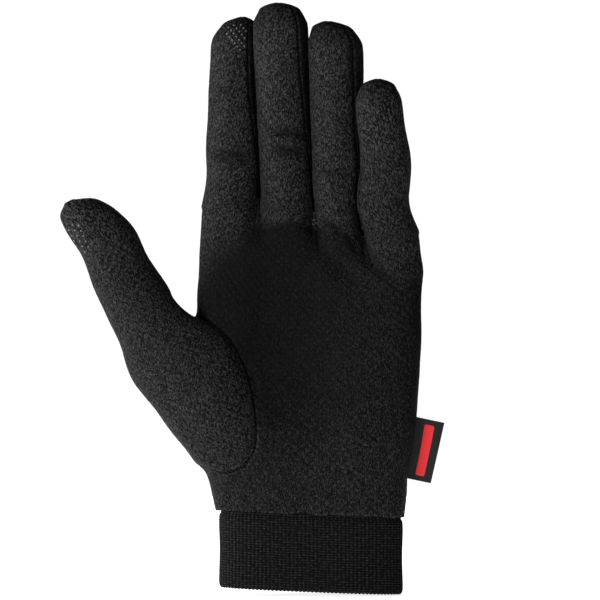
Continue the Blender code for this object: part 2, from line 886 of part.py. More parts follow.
def make_panel(name: str, faces: list, points: list, inside: list):
    """Give one panel of the skin its wall, and draw its edges in from the seams."""
    moves = inset_moves(faces, points)
    mesh = bmesh.new()
    outer, inner = {}, {}
    for corner in sorted({c for corners in faces for c in corners}):
        move = moves.get(corner, Vector())
        outer[corner] = mesh.verts.new(points[corner] + move)
        inner[corner] = mesh.verts.new(inside[corner] + move)
    edges = {}
    for corners in faces:
        mesh.faces.new([outer[c] for c in corners])
        mesh.faces.new([inner[c] for c in reversed(corners)])
        for i, corner in enumerate(corners):
            run = (corners[i - 1], corner)
            edges.setdefault(frozenset(run), []).append(run)
    for found in edges.values():
        if len(found) == 1:
            start, end = found[0]
            mesh.faces.new((outer[end], outer[start], inner[start], inner[end]))
    return add_object(name, mesh, CLOTH_COLOUR, CLOTH_ROUGHNESS)


class CuffRow(NamedTuple):
    """A point of the cuff's section: its height, and how far in it lies, in walls."""

    height: float
    inward: float


CUFF = (
    CuffRow(1.000, 0.10),
    CuffRow(0.970, 0.00),
    CuffRow(0.780, 0.02),
    CuffRow(0.420, 0.22),
    CuffRow(0.100, 0.02),
    CuffRow(0.028, 0.06),
    CuffRow(0.000, 0.40),
    CuffRow(0.000, 0.75),
    CuffRow(0.028, 1.02),
    CuffRow(0.100, 1.10),
    CuffRow(0.420, 1.22),
    CuffRow(0.780, 1.02),
    CuffRow(0.970, 1.00),
    CuffRow(1.000, 0.90),
)


def hem_outline() -> list:
    """The hem's outline seen from above, as points and the directions that face outwards."""
    front = [hand_point(column_share(c), 0.0, True) for c in range(COLUMNS + 1)]
    rear = [hand_point(column_share(c), 0.0, False) for c in range(COLUMNS - 1, 0, -1)]
    points = [Vector((p.x, p.y)) for p in front + rear]
    outline = []
    for i, place in enumerate(points):
        run = points[(i + 1) % len(points)] - points[i - 1]
        outline.append((place, Vector((run.y, -run.x)).normalized()))
    return outline


def make_cuff():
    """The double rib band: a closed section carried round the wrist, its top inside the hem."""
    outline = hem_outline()
    mesh = bmesh.new()
    rings = []
    for row in CUFF:
        inward = WALL + CUFF_CLEARANCE + row.inward * CUFF_WALL
        ring = []
        for place, outward in outline:
            x, y = place - outward * inward
            slant = -SLANT * x / (HEM_WIDTH / 2.0)
            z = row.height * (CUFF_HEIGHT + CUFF_TUCK) + slant
            ring.append(mesh.verts.new((x, y, z)))
        rings.append(ring)
    for i, ring in enumerate(rings):
        before = rings[i - 1]
        for j in range(len(ring)):
            mesh.faces.new((ring[j - 1], ring[j], before[j], before[j - 1]))
    bmesh.ops.recalc_face_normals(mesh, faces=mesh.faces)
    add_object("cuff", mesh, CUFF_COLOUR, CLOTH_ROUGHNESS)


def make_label():
    """The folded tab, standing out of the side seam on the little-finger side."""
    low = LABEL_PLACE - LABEL_HEIGHT / 2.0
    high = LABEL_PLACE + LABEL_HEIGHT / 2.0
    foot = hand_point(1.0, low / HAND_LENGTH, True)
    head = hand_point(1.0, high / HAND_LENGTH, True)
    up = (head - foot).normalized()
    out = Vector((up.z, 0.0, -up.x)).normalized()
    thick = up.cross(out).normalized()
    heights = [mix(low, high, step / LABEL_STEPS) for step in range(LABEL_STEPS + 1)]
    bow = max((hand_point(1.0, h / HAND_LENGTH, True) - foot).dot(out) for h in heights)
    middle = foot.lerp(head, 0.5) + out * (bow + LABEL_GAP + LABEL_REACH / 2.0)
    mesh = bmesh.new()
    bmesh.ops.create_cube(mesh, size=1.0)
    sides = Matrix.Diagonal((LABEL_REACH, LABEL_THICKNESS, LABEL_HEIGHT, 1.0))
    bmesh.ops.transform(mesh, matrix=sides, verts=mesh.verts)
    made = add_object("side_label", mesh, LABEL_COLOUR, LABEL_ROUGHNESS)
    turn = Matrix((out, thick, up)).transposed().to_4x4()
    made.matrix_world = Matrix.Translation(middle) @ turn
    rounded = made.modifiers.new("edges", "BEVEL")
    rounded.width = LABEL_ROUND
    rounded.segments = 2


def clear_scene():
    """Remove what the scene holds, and start the glove's collection."""
    for old in list(bpy.data.objects):
        bpy.data.objects.remove(old)
    collection = bpy.data.collections.new("running_glove")
    bpy.context.scene.collection.children.link(collection)


def main():
    """Build every piece of the glove."""
    clear_scene()
    skin = whole_skin()
    faces, inside = inner_points(skin)
    for name in ("palm_panel", "back_panel", *STRIPS, "thumb"):
        own = [corners for panel, corners in faces if panel == name]
        make_panel(name, own, skin.points, inside)
    make_cuff()
    make_label()


main()
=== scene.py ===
"""The looks of a knitted running glove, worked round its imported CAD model.

The glove is a left one, held up by its cuff as a hand fills it. It stands along +Z, its palm
faces -Y and its thumb points to -X. The knitted panels follow one smooth outer skin. Each is
cut from it along its seams, rolled in at its edges and given a wall of cloth. The cuff, the
tab, the sewing thread and the printed dots are laid on that skin.
"""

from __future__ import annotations

import json
import logging
import math
from dataclasses import dataclass
from enum import Enum
from typing import NamedTuple

import bmesh
import bpy
import numpy as np
from bpy.types import Material, Mesh, Node, NodeSocket, NodeTree, Object
from mathutils import Matrix, Vector, noise
from mathutils.kdtree import KDTree

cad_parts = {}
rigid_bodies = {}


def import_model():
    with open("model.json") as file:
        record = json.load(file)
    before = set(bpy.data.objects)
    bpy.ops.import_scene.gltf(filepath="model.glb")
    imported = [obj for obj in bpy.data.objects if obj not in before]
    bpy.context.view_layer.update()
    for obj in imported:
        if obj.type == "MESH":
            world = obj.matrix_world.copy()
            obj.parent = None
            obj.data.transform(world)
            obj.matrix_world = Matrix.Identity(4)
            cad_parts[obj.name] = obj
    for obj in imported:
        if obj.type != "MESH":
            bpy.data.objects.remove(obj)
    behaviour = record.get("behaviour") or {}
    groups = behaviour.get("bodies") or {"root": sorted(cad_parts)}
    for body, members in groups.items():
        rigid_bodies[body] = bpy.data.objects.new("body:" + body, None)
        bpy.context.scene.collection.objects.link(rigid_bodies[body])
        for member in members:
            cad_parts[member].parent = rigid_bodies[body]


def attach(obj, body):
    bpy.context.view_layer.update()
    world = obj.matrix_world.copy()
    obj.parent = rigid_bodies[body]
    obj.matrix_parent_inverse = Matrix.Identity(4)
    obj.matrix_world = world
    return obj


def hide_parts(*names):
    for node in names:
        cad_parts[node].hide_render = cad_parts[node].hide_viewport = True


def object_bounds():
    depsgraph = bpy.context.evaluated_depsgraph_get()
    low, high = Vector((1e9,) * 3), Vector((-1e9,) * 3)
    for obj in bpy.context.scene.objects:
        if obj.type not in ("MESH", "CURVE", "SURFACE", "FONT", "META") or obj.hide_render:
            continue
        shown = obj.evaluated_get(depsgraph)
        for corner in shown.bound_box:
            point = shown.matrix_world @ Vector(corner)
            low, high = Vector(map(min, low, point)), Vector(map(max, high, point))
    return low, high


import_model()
CAD_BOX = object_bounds()

MM = 0.001
MATH = "ShaderNodeMath"
LOG = logging.getLogger("running_glove")


class Panel(Enum):
    """The knitted panels, each by the CAD node that it stands for."""

    PALM = "palm_panel"
    BACK = "back_panel"
    INDEX_MIDDLE = "fourchette_index_middle"
    MIDDLE_RING = "fourchette_middle_ring"
    RING_LITTLE = "fourchette_ring_little"
    THUMB = "thumb"


PANELS = tuple(Panel)
THUMB_FRONT = PANELS.index(Panel.THUMB)
THUMB_BACK = THUMB_FRONT + 1
STRIPS = (Panel.INDEX_MIDDLE, Panel.MIDDLE_RING, Panel.RING_LITTLE)


# Curves and shares


def smooth_step(share: float) -> float:
    """Ease from 0 to 1, level at both ends."""
    share = min(max(share, 0.0), 1.0)
    return share * share * (3.0 - 2.0 * share)


def mix(first: float, second: float, share: float) -> float:
    """The value a share of the way from the first to the second."""
    return first + (second - first) * share


def read(table: tuple, column: str, share: float) -> float:
    """Read a table on a smooth curve that never overshoots its rows.

    Args:
        table: Rows whose first value is their place, in rising order.
        column: The name of the value to read.
        share: The place to read it at.

    Returns:
        The value there.
    """
    places = [row[0] for row in table]
    values = [getattr(row, column) for row in table]
    if share <= places[0]:
        return values[0]
    if share >= places[-1]:
        return values[-1]
    slopes = [
        (values[i + 1] - values[i]) / (places[i + 1] - places[i])
        for i in range(len(places) - 1)
    ]

    def tangent(i: int) -> float:
        """The slope of the curve at a row.

        Args:
            i: The row's number.

        Returns:
            The slope.
        """
        if i == 0:
            return slopes[0]
        if i == len(slopes):
            return slopes[-1]
        before, after = slopes[i - 1], slopes[i]
        if before * after <= 0.0:
            return 0.0
        return 2.0 * before * after / (before + after)

    i = max(j for j in range(len(slopes)) if places[j] <= share)
    width = places[i + 1] - places[i]
    t = (share - places[i]) / width
    return (
        (1.0 + 2.0 * t) * (1.0 - t) ** 2 * values[i]
        + t * (1.0 - t) ** 2 * width * tangent(i)
        + t * t * (3.0 - 2.0 * t) * values[i + 1]
        + t * t * (t - 1.0) * width * tangent(i + 1)
    )


def even_steps(points: list[Vector], count: int) -> list[Vector]:
    """Points at equal steps along straight runs between the given ones.

    Args:
        points: The line's points.
        count: How many steps to take.

    Returns:
        One point more than there are steps.
    """
    reach = [0.0]
    for before, after in zip(points, points[1:]):
        reach.append(reach[-1] + (after - before).length)
    spaced = []
    i = 0
    for k in range(count + 1):
        wanted = reach[-1] * k / count
        while i < len(points) - 2 and reach[i + 1] < wanted:
            i += 1
        share = (wanted - reach[i]) / (reach[i + 1] - reach[i])
        spaced.append(points[i].lerp(points[i + 1], min(share, 1.0)))
    return spaced


def curve_through(points: list[Vector], count: int, steps: int = 24) -> list[Vector]:
    """Points at equal steps along a smooth curve through the given ones.

    Args:
        points: The points that the curve passes through.
        count: How many steps to take along it.
        steps: How finely each stretch is worked out first.

    Returns:
        One point more than there are steps.
    """
    ends = [2 * points[0] - points[1], *points, 2 * points[-1] - points[-2]]
    fine = [points[0]]
    for i in range(1, len(ends) - 2):
        a, b, c, d = ends[i - 1 : i + 3]
        for step in range(1, steps + 1):
            t = step / steps
            fine.append(
                0.5 * (2 * b + (c - a) * t + (2 * a - 5 * b + 4 * c - d) * t**2
                       + (3 * b - a - 3 * c + d) * t**3)
            )
    return even_steps(fine, count)


# The form of the hand


class HandRow(NamedTuple):
    """Sections of the hand by height: shares of the way from hem to knuckles, and of depths."""

    height: float
    left_out: float
    right_out: float
    palm_depth: float
    back_depth: float
    edge_forward: float


class Mound(NamedTuple):
    """A swelling or, where the rise is negative, a hollow of the palm."""

    across: float
    height: float
    width: float
    length: float
    rise: float


class SeamPoint(NamedTuple):
    """A place on the palm or the back, as shares across and up the hand."""

    across: float
    height: float

    def towards(self, other: SeamPoint, share: float) -> SeamPoint:
        """A place between this one and another."""
        across = mix(self.across, other.across, share)
        return SeamPoint(across, mix(self.height, other.height, share))


class FingerRow(NamedTuple):
    """A finger's section: shares of its width and depth, and its place beside its neighbour."""

    height: float
    width: float
    depth: float
    lap: float = 1.0
    step: float = 0.0


class SeamRow(NamedTuple):
    """Where the seam beside a finger's pad lies, in degrees round from the pad's middle."""

    height: float
    angle: float


# How many faces lie across a finger's pad, and across its back
ARC = 4

# The seam beside the pads, which comes to the front towards the fingertips
PAD_SEAM = (
    SeamRow(0.00, 72.0),
    SeamRow(0.25, 57.0),
    SeamRow(0.50, 45.0),
    SeamRow(0.75, 38.0),
    SeamRow(1.00, 36.0),
)


@dataclass(frozen=True, eq=False)
class Finger:
    """One finger: a tube of oval sections that lies beside its inner neighbour."""

    length: float
    width: float
    depth: float
    rows: tuple
    base_left: float
    base_right: float
    side: float = 0.0
    stagger: float = 0.0
    tip_shift: float = 0.0
    inner: Finger | None = None
    has_left_strip: bool = True
    has_right_strip: bool = True
    place: float = 9.2 * MM
    lean: float = 3.4 * MM
    base_forward: float = 2.0 * MM
    curl: float = 14.0 * MM
    curl_ease: float = 1.6
    tip_reach: float = 0.42
    tip_bluntness: float = 0.14
    web_rise: float = 3.0 * MM
    web_ease: int = 4
    side_seam: float = 90.0
    far_seam: float = -88.0
    strip_span: float = 60.0
    plain_rows: int = 6
    tip_rows: tuple = (0.62, 0.33, 0.13, 0.0)

    @property
    def base(self) -> float:
        """The height of the middle of the finger's base."""
        return (self.base_left + self.base_right) / 2.0

    @property
    def tip(self) -> float:
        """The height of the fingertip."""
        return self.base + self.length

    def share(self, height: float) -> float:
        """How far up the finger a height lies."""
        return min(max((height - self.base) / self.length, 0.0), 1.0)

    def half_width(self, height: float) -> float:
        """Half the width, before the tip rounds it."""
        return self.width * read(self.rows, "width", self.share(height)) / 2.0

    def half_depth(self, height: float) -> float:
        """Half the depth, before the tip rounds it."""
        return self.depth * read(self.rows, "depth", self.share(height)) / 2.0

    def centre(self, height: float) -> tuple[float, float]:
        """The middle of the section at a height.

        Args:
            height: The section's height.

        Returns:
            Its x and y.
        """
        share = self.share(height)
        if self.inner is None:
            x = -self.place - self.lean * share
            return x, -self.base_forward - self.curl * share**self.curl_ease
        inner_x, inner_y = self.inner.centre(height)
        widths = self.half_width(height) + self.inner.half_width(height)
        depths = self.half_depth(height) + self.inner.half_depth(height)
        x = inner_x + self.side * read(self.rows, "lap", share) * widths
        return x, inner_y + self.stagger * read(self.rows, "step", share) * depths

    def point(self, angle: float, height: float) -> Vector:
        """A point of the outside.

        Args:
            angle: Degrees round from the middle of the pad.
            height: Its height.

        Returns:
            The point.
        """
        x, y = self.centre(height)
        reach = self.tip_reach * self.width
        into_tip = 1.0 - min(max((self.tip - height) / reach, 0.0), 1.0)
        left = math.sqrt(1.0 - into_tip**2)
        x += self.tip_shift * self.width * into_tip**2
        turn = math.radians(angle)
        across = self.half_width(height) * mix(self.tip_bluntness, 1.0, left)
        through = self.half_depth(height) * left
        return Vector((x + across * math.sin(turn), y - through * math.cos(turn), height))

    def pad_angles(self, share: float) -> tuple[float, float]:
        """The seams beside the pad: degrees of the left and the right one.

        Args:
            share: How far up the finger they are read.

        Returns:
            Their degrees.
        """
        left = self.far_seam if self.has_left_strip else -self.side_seam
        right = read(PAD_SEAM, "angle", share) if self.has_right_strip else self.side_seam
        return left, right

    def back_angles(self, share: float) -> tuple[float, float]:
        """The seams beside the finger's back: degrees of the left and the right one.

        Args:
            share: How far up the finger they are read.

        Returns:
            Their degrees.
        """
        left, right = self.pad_angles(share)
        left = left - self.strip_span if self.has_left_strip else left
        right = right + self.strip_span if self.has_right_strip else right
        return left + 360.0, right

    def row_shares(self) -> list[float]:
        """Shares of the height of the finger's rows, closer together at the rounded tip.

        Returns:
            The shares, from the base up.
        """
        reach = self.tip_reach * self.width / self.length
        rows = range(self.plain_rows + 1)
        plain = [(1.0 - reach) * row / self.plain_rows for row in rows]
        return plain + [1.0 - reach * left for left in self.tip_rows]

    def row_height(self, across: float, share: float) -> float:
        """The height of a point of a row: the base is slanted and the tip is level."""
        return mix(mix(self.base_left, self.base_right, across), self.tip, share)

    def ring(self, share: float) -> tuple:
        """One row of points round the finger.

        Args:
            share: How far up the finger the row lies.

        Returns:
            The points of the pad and of the back, left to right, and the left and right side.
        """
        pad_left, pad_right = self.pad_angles(share)
        back_left, back_right = self.back_angles(share)
        pad, back = [], []
        for step in range(ARC + 1):
            across = step / ARC
            height = self.row_height(across, share)
            pad.append(self.point(mix(pad_left, pad_right, across), height))
            back.append(self.point(mix(back_left, back_right, across), height))
        if share >= 1.0:
            line = [a.lerp(b, 0.5) for a, b in zip(pad, back)]
            return line, line, line[0], line[-1]
        rise = self.web_rise * (1.0 - share) ** self.web_ease
        left_angle = (pad_left + back_left - 360.0) / 2.0
        right_angle = (pad_right + back_right) / 2.0
        left = self.point(left_angle, self.row_height(0.0, share) + rise)
        right = self.point(right_angle, self.row_height(1.0, share) + rise)
        return pad, back, left, right


@dataclass
class Hand:
    """The hand from its hem to the knuckle line, and the four fingers on it."""

    length: float = 124.0 * MM
    hem_height: float = 30.6 * MM
    hem_width: float = 75.6 * MM
    palm_depth: float = 12.5 * MM
    back_depth: float = 13.0 * MM
    mound_height: float = 3.5 * MM
    slant: float = 1.5 * MM
    squareness: float = 2.6
    scallop_from: float = 0.80
    scallop_ease: float = 1.5
    web_drop: float = 0.6 * MM
    seam_back: float = 0.45
    rows_below: int = 3
    rows_beside: int = 8
    hole_columns: int = 3
    rows_above: tuple = (0.16, 0.32, 0.47, 0.61, 0.74, 0.86, 0.94, 1.0)
    rows: tuple = (
        HandRow(0.000, 0.00, 0.00, 1.12, 1.08, 0.00),
        HandRow(0.080, 0.33, 0.15, 1.16, 1.08, 0.10),
        HandRow(0.145, 1.00, 0.23, 1.20, 1.08, 0.20),
        HandRow(0.242, 1.27, 0.65, 1.18, 1.08, 0.40),
        HandRow(0.371, 1.40, 1.00, 1.08, 1.06, 0.65),
        HandRow(0.500, 1.47, 1.23, 0.98, 1.02, 0.85),
        HandRow(0.632, 1.47, 1.35, 0.86, 1.00, 1.00),
        HandRow(0.726, 1.27, 1.30, 0.78, 0.98, 1.00),
        HandRow(0.855, 1.07, 1.27, 0.70, 0.96, 1.00),
        HandRow(0.905, 1.00, 1.08, 0.68, 0.94, 1.00),
        HandRow(1.000, 1.00, 1.00, 0.64, 0.92, 1.00),
    )
    mounds: tuple = (
        Mound(0.42, 0.48, 0.24, 0.24, -1.15),
        Mound(0.78, 0.30, 0.16, 0.22, 0.55),
        Mound(0.66, 0.86, 0.09, 0.06, -0.60),
        Mound(0.585, 0.84, 0.06, 0.09, 0.45),
        Mound(0.86, 0.84, 0.10, 0.05, 0.40),
        Mound(0.30, 0.86, 0.16, 0.08, 0.35),
    )
    seam: tuple = (
        SeamPoint(0.000, 0.632),
        SeamPoint(0.097, 0.590),
        SeamPoint(0.185, 0.519),
        SeamPoint(0.247, 0.410),
        SeamPoint(0.273, 0.290),
        SeamPoint(0.262, 0.203),
        SeamPoint(0.206, 0.148),
        SeamPoint(0.088, 0.126),
        SeamPoint(0.000, 0.152),
    )

    def __post_init__(self) -> None:
        """Set the fingers on the knuckle line, and the rows of points where they begin."""
        self.fingers = self.make_fingers()
        self.columns = len(self.fingers) * ARC + 2 * (len(self.fingers) - 1)
        self.palm_top = self.knuckle_row(0)
        self.back_top = self.knuckle_row(1)

    def corners(self, left: float, right: float) -> dict:
        """Heights of a finger's two base corners, from their drops below the knuckle line."""
        line = self.hem_height + self.length
        return {"base_left": line - left * self.length, "base_right": line - right * self.length}

    def make_fingers(self) -> tuple:
        """The four fingers, from the index finger to the little one.

        Returns:
            The fingers in that order.
        """
        middle = Finger(
            79.6 * MM, 22.2 * MM, 18.0 * MM,
            (
                FingerRow(0.00, 0.98, 1.12),
                FingerRow(0.25, 0.98, 1.04),
                FingerRow(0.50, 0.98, 1.00),
                FingerRow(0.75, 1.00, 0.94),
                FingerRow(1.00, 1.00, 0.88),
            ),
            **self.corners(-0.032, 0.018), tip_reach=0.49,
        )
        index = Finger(
            72.8 * MM, 21.6 * MM, 17.0 * MM,
            (
                FingerRow(0.00, 1.03, 1.15, 1.060, 0.10),
                FingerRow(0.10, 1.02, 1.11, 0.965, 0.18),
                FingerRow(0.25, 0.98, 1.06, 0.975, 0.23),
                FingerRow(0.55, 0.92, 1.00, 0.980, 0.28),
                FingerRow(0.78, 0.86, 0.94, 0.945, 0.38),
                FingerRow(1.00, 0.82, 0.88, 0.920, 0.44),
            ),
            **self.corners(-0.010, -0.032), side=-1.0, stagger=1.0, tip_shift=0.16,
            tip_reach=0.58, inner=middle, has_left_strip=False,
        )
        ring = Finger(
            79.6 * MM, 22.0 * MM, 17.0 * MM,
            (
                FingerRow(0.00, 0.82, 1.15, 1.040, 0.07),
                FingerRow(0.12, 0.85, 1.09, 0.945, 0.18),
                FingerRow(0.25, 0.89, 1.05, 0.970, 0.25),
                FingerRow(0.57, 0.96, 1.00, 0.975, 0.24),
                FingerRow(0.79, 1.00, 0.94, 0.980, 0.24),
                FingerRow(1.00, 1.00, 0.88, 0.985, 0.24),
            ),
            **self.corners(0.018, 0.089), side=1.0, stagger=-1.0, tip_shift=-0.12,
            tip_reach=0.53, inner=middle,
        )
        little = Finger(
            60.1 * MM, 22.4 * MM, 15.5 * MM,
            (
                FingerRow(0.00, 0.97, 1.20, 1.030, 0.10),
                FingerRow(0.14, 0.96, 1.10, 0.935, 0.18),
                FingerRow(0.47, 0.90, 1.00, 0.970, 0.31),
                FingerRow(0.74, 0.85, 0.94, 0.867, 0.54),
                FingerRow(1.00, 0.80, 0.88, 0.833, 0.59),
            ),
            **self.corners(0.089, 0.075), side=1.0, stagger=-1.0, tip_reach=0.50,
            inner=ring, has_right_strip=False,
        )
        return index, middle, ring, little

    def knuckle_row(self, side: int) -> list[Vector]:
        """The top row of the hand, across the bases of the fingers and the webs between them.

        Args:
            side: 0 for the palm's row, 1 for the back's.

        Returns:
            The row's points, left to right.
        """
        rows = [finger.ring(0.0)[side] for finger in self.fingers]
        points = list(rows[0])
        for row in rows[1:]:
            web = points[-1].lerp(row[0], 0.5)
            web.z -= self.web_drop
            points += [web, *row]
        return points

    def edge(self, height: float) -> tuple[float, float, float, float]:
        """The two side seams at a height share: x of the left and right one, and their y.

        Args:
            height: The share of the way up to the knuckle line.

        Returns:
            Both x, then both y.
        """
        hem = self.hem_width / 2.0
        left = -mix(hem, -self.palm_top[0].x, read(self.rows, "left_out", height))
        right = mix(hem, self.palm_top[-1].x, read(self.rows, "right_out", height))
        forward = read(self.rows, "edge_forward", height)
        return left, right, self.palm_top[0].y * forward, self.palm_top[-1].y * forward

    def swelling(self, across: float, height: float) -> float:
        """How far the palm's mounds and hollows move its surface forward.

        Args:
            across: The share of the way across the palm.
            height: The share of the way up it.

        Returns:
            The move forward.
        """
        total = 0.0
        for mound in self.mounds:
            aside = (across - mound.across) / mound.width
            along = (height - mound.height) / mound.length
            total += mound.rise * math.exp(-aside * aside - along * along)
        return total * self.mound_height

    def line_height(self, across: float, top: list[Vector]) -> float:
        """The knuckle line's height above a place across the hand.

        Args:
            across: The share of the way across.
            top: The knuckle line's points.

        Returns:
            The height.
        """
        x = mix(top[0].x, top[-1].x, across)
        for before, after in zip(top, top[1:]):
            if before.x <= x <= after.x:
                return mix(before.z, after.z, (x - before.x) / (after.x - before.x))
        return top[-1].z if across > 0.5 else top[0].z

    def point(self, across: float, height: float, palm: bool) -> Vector:
        """A point of the palm or the back.

        Args:
            across: Its share of the way across the hand.
            height: Its share of the way up to the knuckle line.
            palm: Whether it is on the palm.

        Returns:
            The point.
        """
        left, right, left_y, right_y = self.edge(height)
        aside = min(abs(2.0 * across - 1.0), 1.0)
        bow = (1.0 - aside**self.squareness) ** (1.0 / self.squareness)
        y = mix(left_y, right_y, across)
        if palm:
            depth = self.palm_depth * read(self.rows, "palm_depth", height)
            y -= bow * (depth + self.swelling(across, height))
        else:
            y += bow * self.back_depth * read(self.rows, "back_depth", height)
        top = self.line_height(across, self.palm_top if palm else self.back_top)
        slant = self.slant * (1.0 - 2.0 * across) * (1.0 - height)
        return Vector((mix(left, right, across), y, mix(self.hem_height, top, height) + slant))

    def column_share(self, column: float) -> float:
        """Places of the columns across the hem, a little closer together at the sides."""
        even = column / self.columns
        return mix(even, (1.0 - math.cos(math.pi * even)) / 2.0, 0.5)

    def thumb_seam(self, back: bool) -> list[SeamPoint]:
        """The thumb's seam from crotch to wrist, as shares across and up, at equal steps.

        Args:
            back: Whether it is the back's side of the seam.

        Returns:
            Its points.
        """
        squeeze = self.seam_back if back else 1.0
        wide = self.palm_top[-1].x - self.palm_top[0].x
        points = [Vector((p.across * squeeze * wide, p.height * self.length)) for p in self.seam]
        spaced = curve_through(points, 2 * self.hole_columns + self.rows_beside)
        return [SeamPoint(p.x / wide, p.y / self.length) for p in spaced]

    def layout(self, back: bool) -> list:
        """Shares across and up for each row and column.

        Args:
            back: Whether it is the back that is laid out.

        Returns:
            The rows from the hem up, with None where the thumb's hole is.
        """
        seam = self.thumb_seam(back)
        last = len(seam) - 1
        top = self.back_top if back else self.palm_top
        wide = top[-1].x - top[0].x
        low, high = self.seam[-1].height, self.seam[0].height
        start = self.column_share(self.hole_columns)
        middle = []
        for row in range(self.rows_beside + 1):
            k = last - self.hole_columns - row
            level = mix(low, high, row / self.rows_beside)
            cells = [None] * self.hole_columns
            if row == 0:
                cells = [seam[last - column] for column in range(self.hole_columns)]
            if row == self.rows_beside:
                cells = [seam[column] for column in range(self.hole_columns)]
            for column in range(self.hole_columns, self.columns + 1):
                share = (self.column_share(column) - start) / (1.0 - start)
                height = mix(level, seam[k].height, (1.0 - share) ** 2)
                cells.append(SeamPoint(mix(seam[k].across, 1.0, share), height))
            middle.append(cells)
        hem = [SeamPoint(self.column_share(c), 0.0) for c in range(self.columns + 1)]
        line = [SeamPoint((p.x - top[0].x) / wide, 1.0) for p in top]
        rows = []
        for row in range(self.rows_below):
            share = row / self.rows_below
            rows.append([a.towards(b, share) for a, b in zip(hem, middle[0])])
        rows += middle
        for share in self.rows_above:
            rows.append([a.towards(b, share) for a, b in zip(middle[-1], line)])
        return rows

    def is_beside(self, row: int) -> bool:
        """Whether the faces above a row are beside the thumb's hole."""
        return self.rows_below <= row < self.rows_below + self.rows_beside


class ThumbRow(NamedTuple):
    """A section of the free thumb: its bend and shares of its width and depth."""

    height: float
    width: float
    depth: float
    bend: float


class BulgeRow(NamedTuple):
    """How the thumb's base swells on its way from the seam, by the share round it."""

    around: float
    bulge: float


@dataclass
class Thumb:
    """The thumb, from its seam in the hand to its tip."""

    length: float = 50.0 * MM
    width: float = 27.2 * MM
    depth: float = 24.0 * MM
    web: float = 15.0 * MM
    web_side: float = 4.0 * MM
    forward: float = 9.0 * MM
    tip_forward: float = 20.0 * MM
    lean: float = math.radians(28.7)
    fan_rings: int = 6
    side_seam: float = 0.5
    row_shares: tuple = (0.14, 0.28, 0.42, 0.55, 0.67, 0.77, 0.86, 0.93, 0.975, 1.0)
    rows: tuple = (
        ThumbRow(0.00, 1.000, 1.00, 0.000),
        ThumbRow(0.28, 0.925, 0.92, 0.000),
        ThumbRow(0.55, 0.866, 0.84, 0.028),
        ThumbRow(0.76, 0.790, 0.74, -0.004),
        ThumbRow(0.91, 0.600, 0.54, -0.048),
        ThumbRow(1.00, 0.120, 0.00, -0.090),
    )
    bulge: tuple = (
        BulgeRow(0.00, -0.80),
        BulgeRow(0.25, 0.90),
        BulgeRow(0.50, 0.85),
        BulgeRow(0.75, 0.40),
        BulgeRow(1.00, -0.80),
    )

    def set_at(self, crotch: Vector) -> None:
        """Take the thumb's directions, and its place beside the crotch.

        Args:
            crotch: The point between thumb and hand.
        """
        tilt = math.atan2(self.tip_forward - self.forward, self.length)
        lean = self.lean
        self.axis = Vector(
            (-math.sin(lean) * math.cos(tilt), -math.sin(tilt), math.cos(lean) * math.cos(tilt))
        )
        self.aside = Vector((math.cos(lean), 0.0, math.sin(lean)))
        self.front = self.aside.cross(self.axis).normalized()
        if self.front.y > 0.0:
            self.front.negate()
        up = Vector((-math.sin(lean), 0.0, math.cos(lean)))
        self.start = crotch + up * self.web - self.aside * (self.width / 2.0 + self.web_side)
        self.start.y = -self.forward

    def section(self, share: float, count: int) -> list[Vector]:
        """A ring of points round the thumb, from the side that faces the index finger.

        Args:
            share: How far up the free thumb it lies.
            count: How many points it has.

        Returns:
            The ring's points.
        """
        bend = read(self.rows, "bend", share) * self.length
        centre = self.start + self.axis * (share * self.length) + self.aside * bend
        across = self.width * read(self.rows, "width", share) / 2.0
        through = self.depth * read(self.rows, "depth", share) / 2.0
        ring = []
        for k in range(count):
            turn = math.tau * k / count
            sideways = self.aside * (across * math.cos(turn))
            ring.append(centre + sideways + self.front * (through * math.sin(turn)))
        return ring

    def fan_point(self, seam: Vector, target: Vector, around: float, t: float) -> Vector:
        """A point on the swelling between the seam and the free thumb.

        Args:
            seam: The point of the seam that the line leaves.
            target: The point of the free thumb that it reaches.
            around: The share of the way round the thumb.
            t: The share of the way along.

        Returns:
            The point.
        """
        turn = math.tau * around
        outward = self.aside * math.cos(turn) + self.front * math.sin(turn)
        chord = target - seam
        leave = chord + outward * (read(self.bulge, "bulge", around) * self.width)
        arrive = self.axis * chord.length
        return (
            seam * ((1 + 2 * t) * (1 - t) ** 2)
            + leave * (t * (1 - t) ** 2)
            + target * (t * t * (3 - 2 * t))
            + arrive * (t * t * (t - 1))
        )


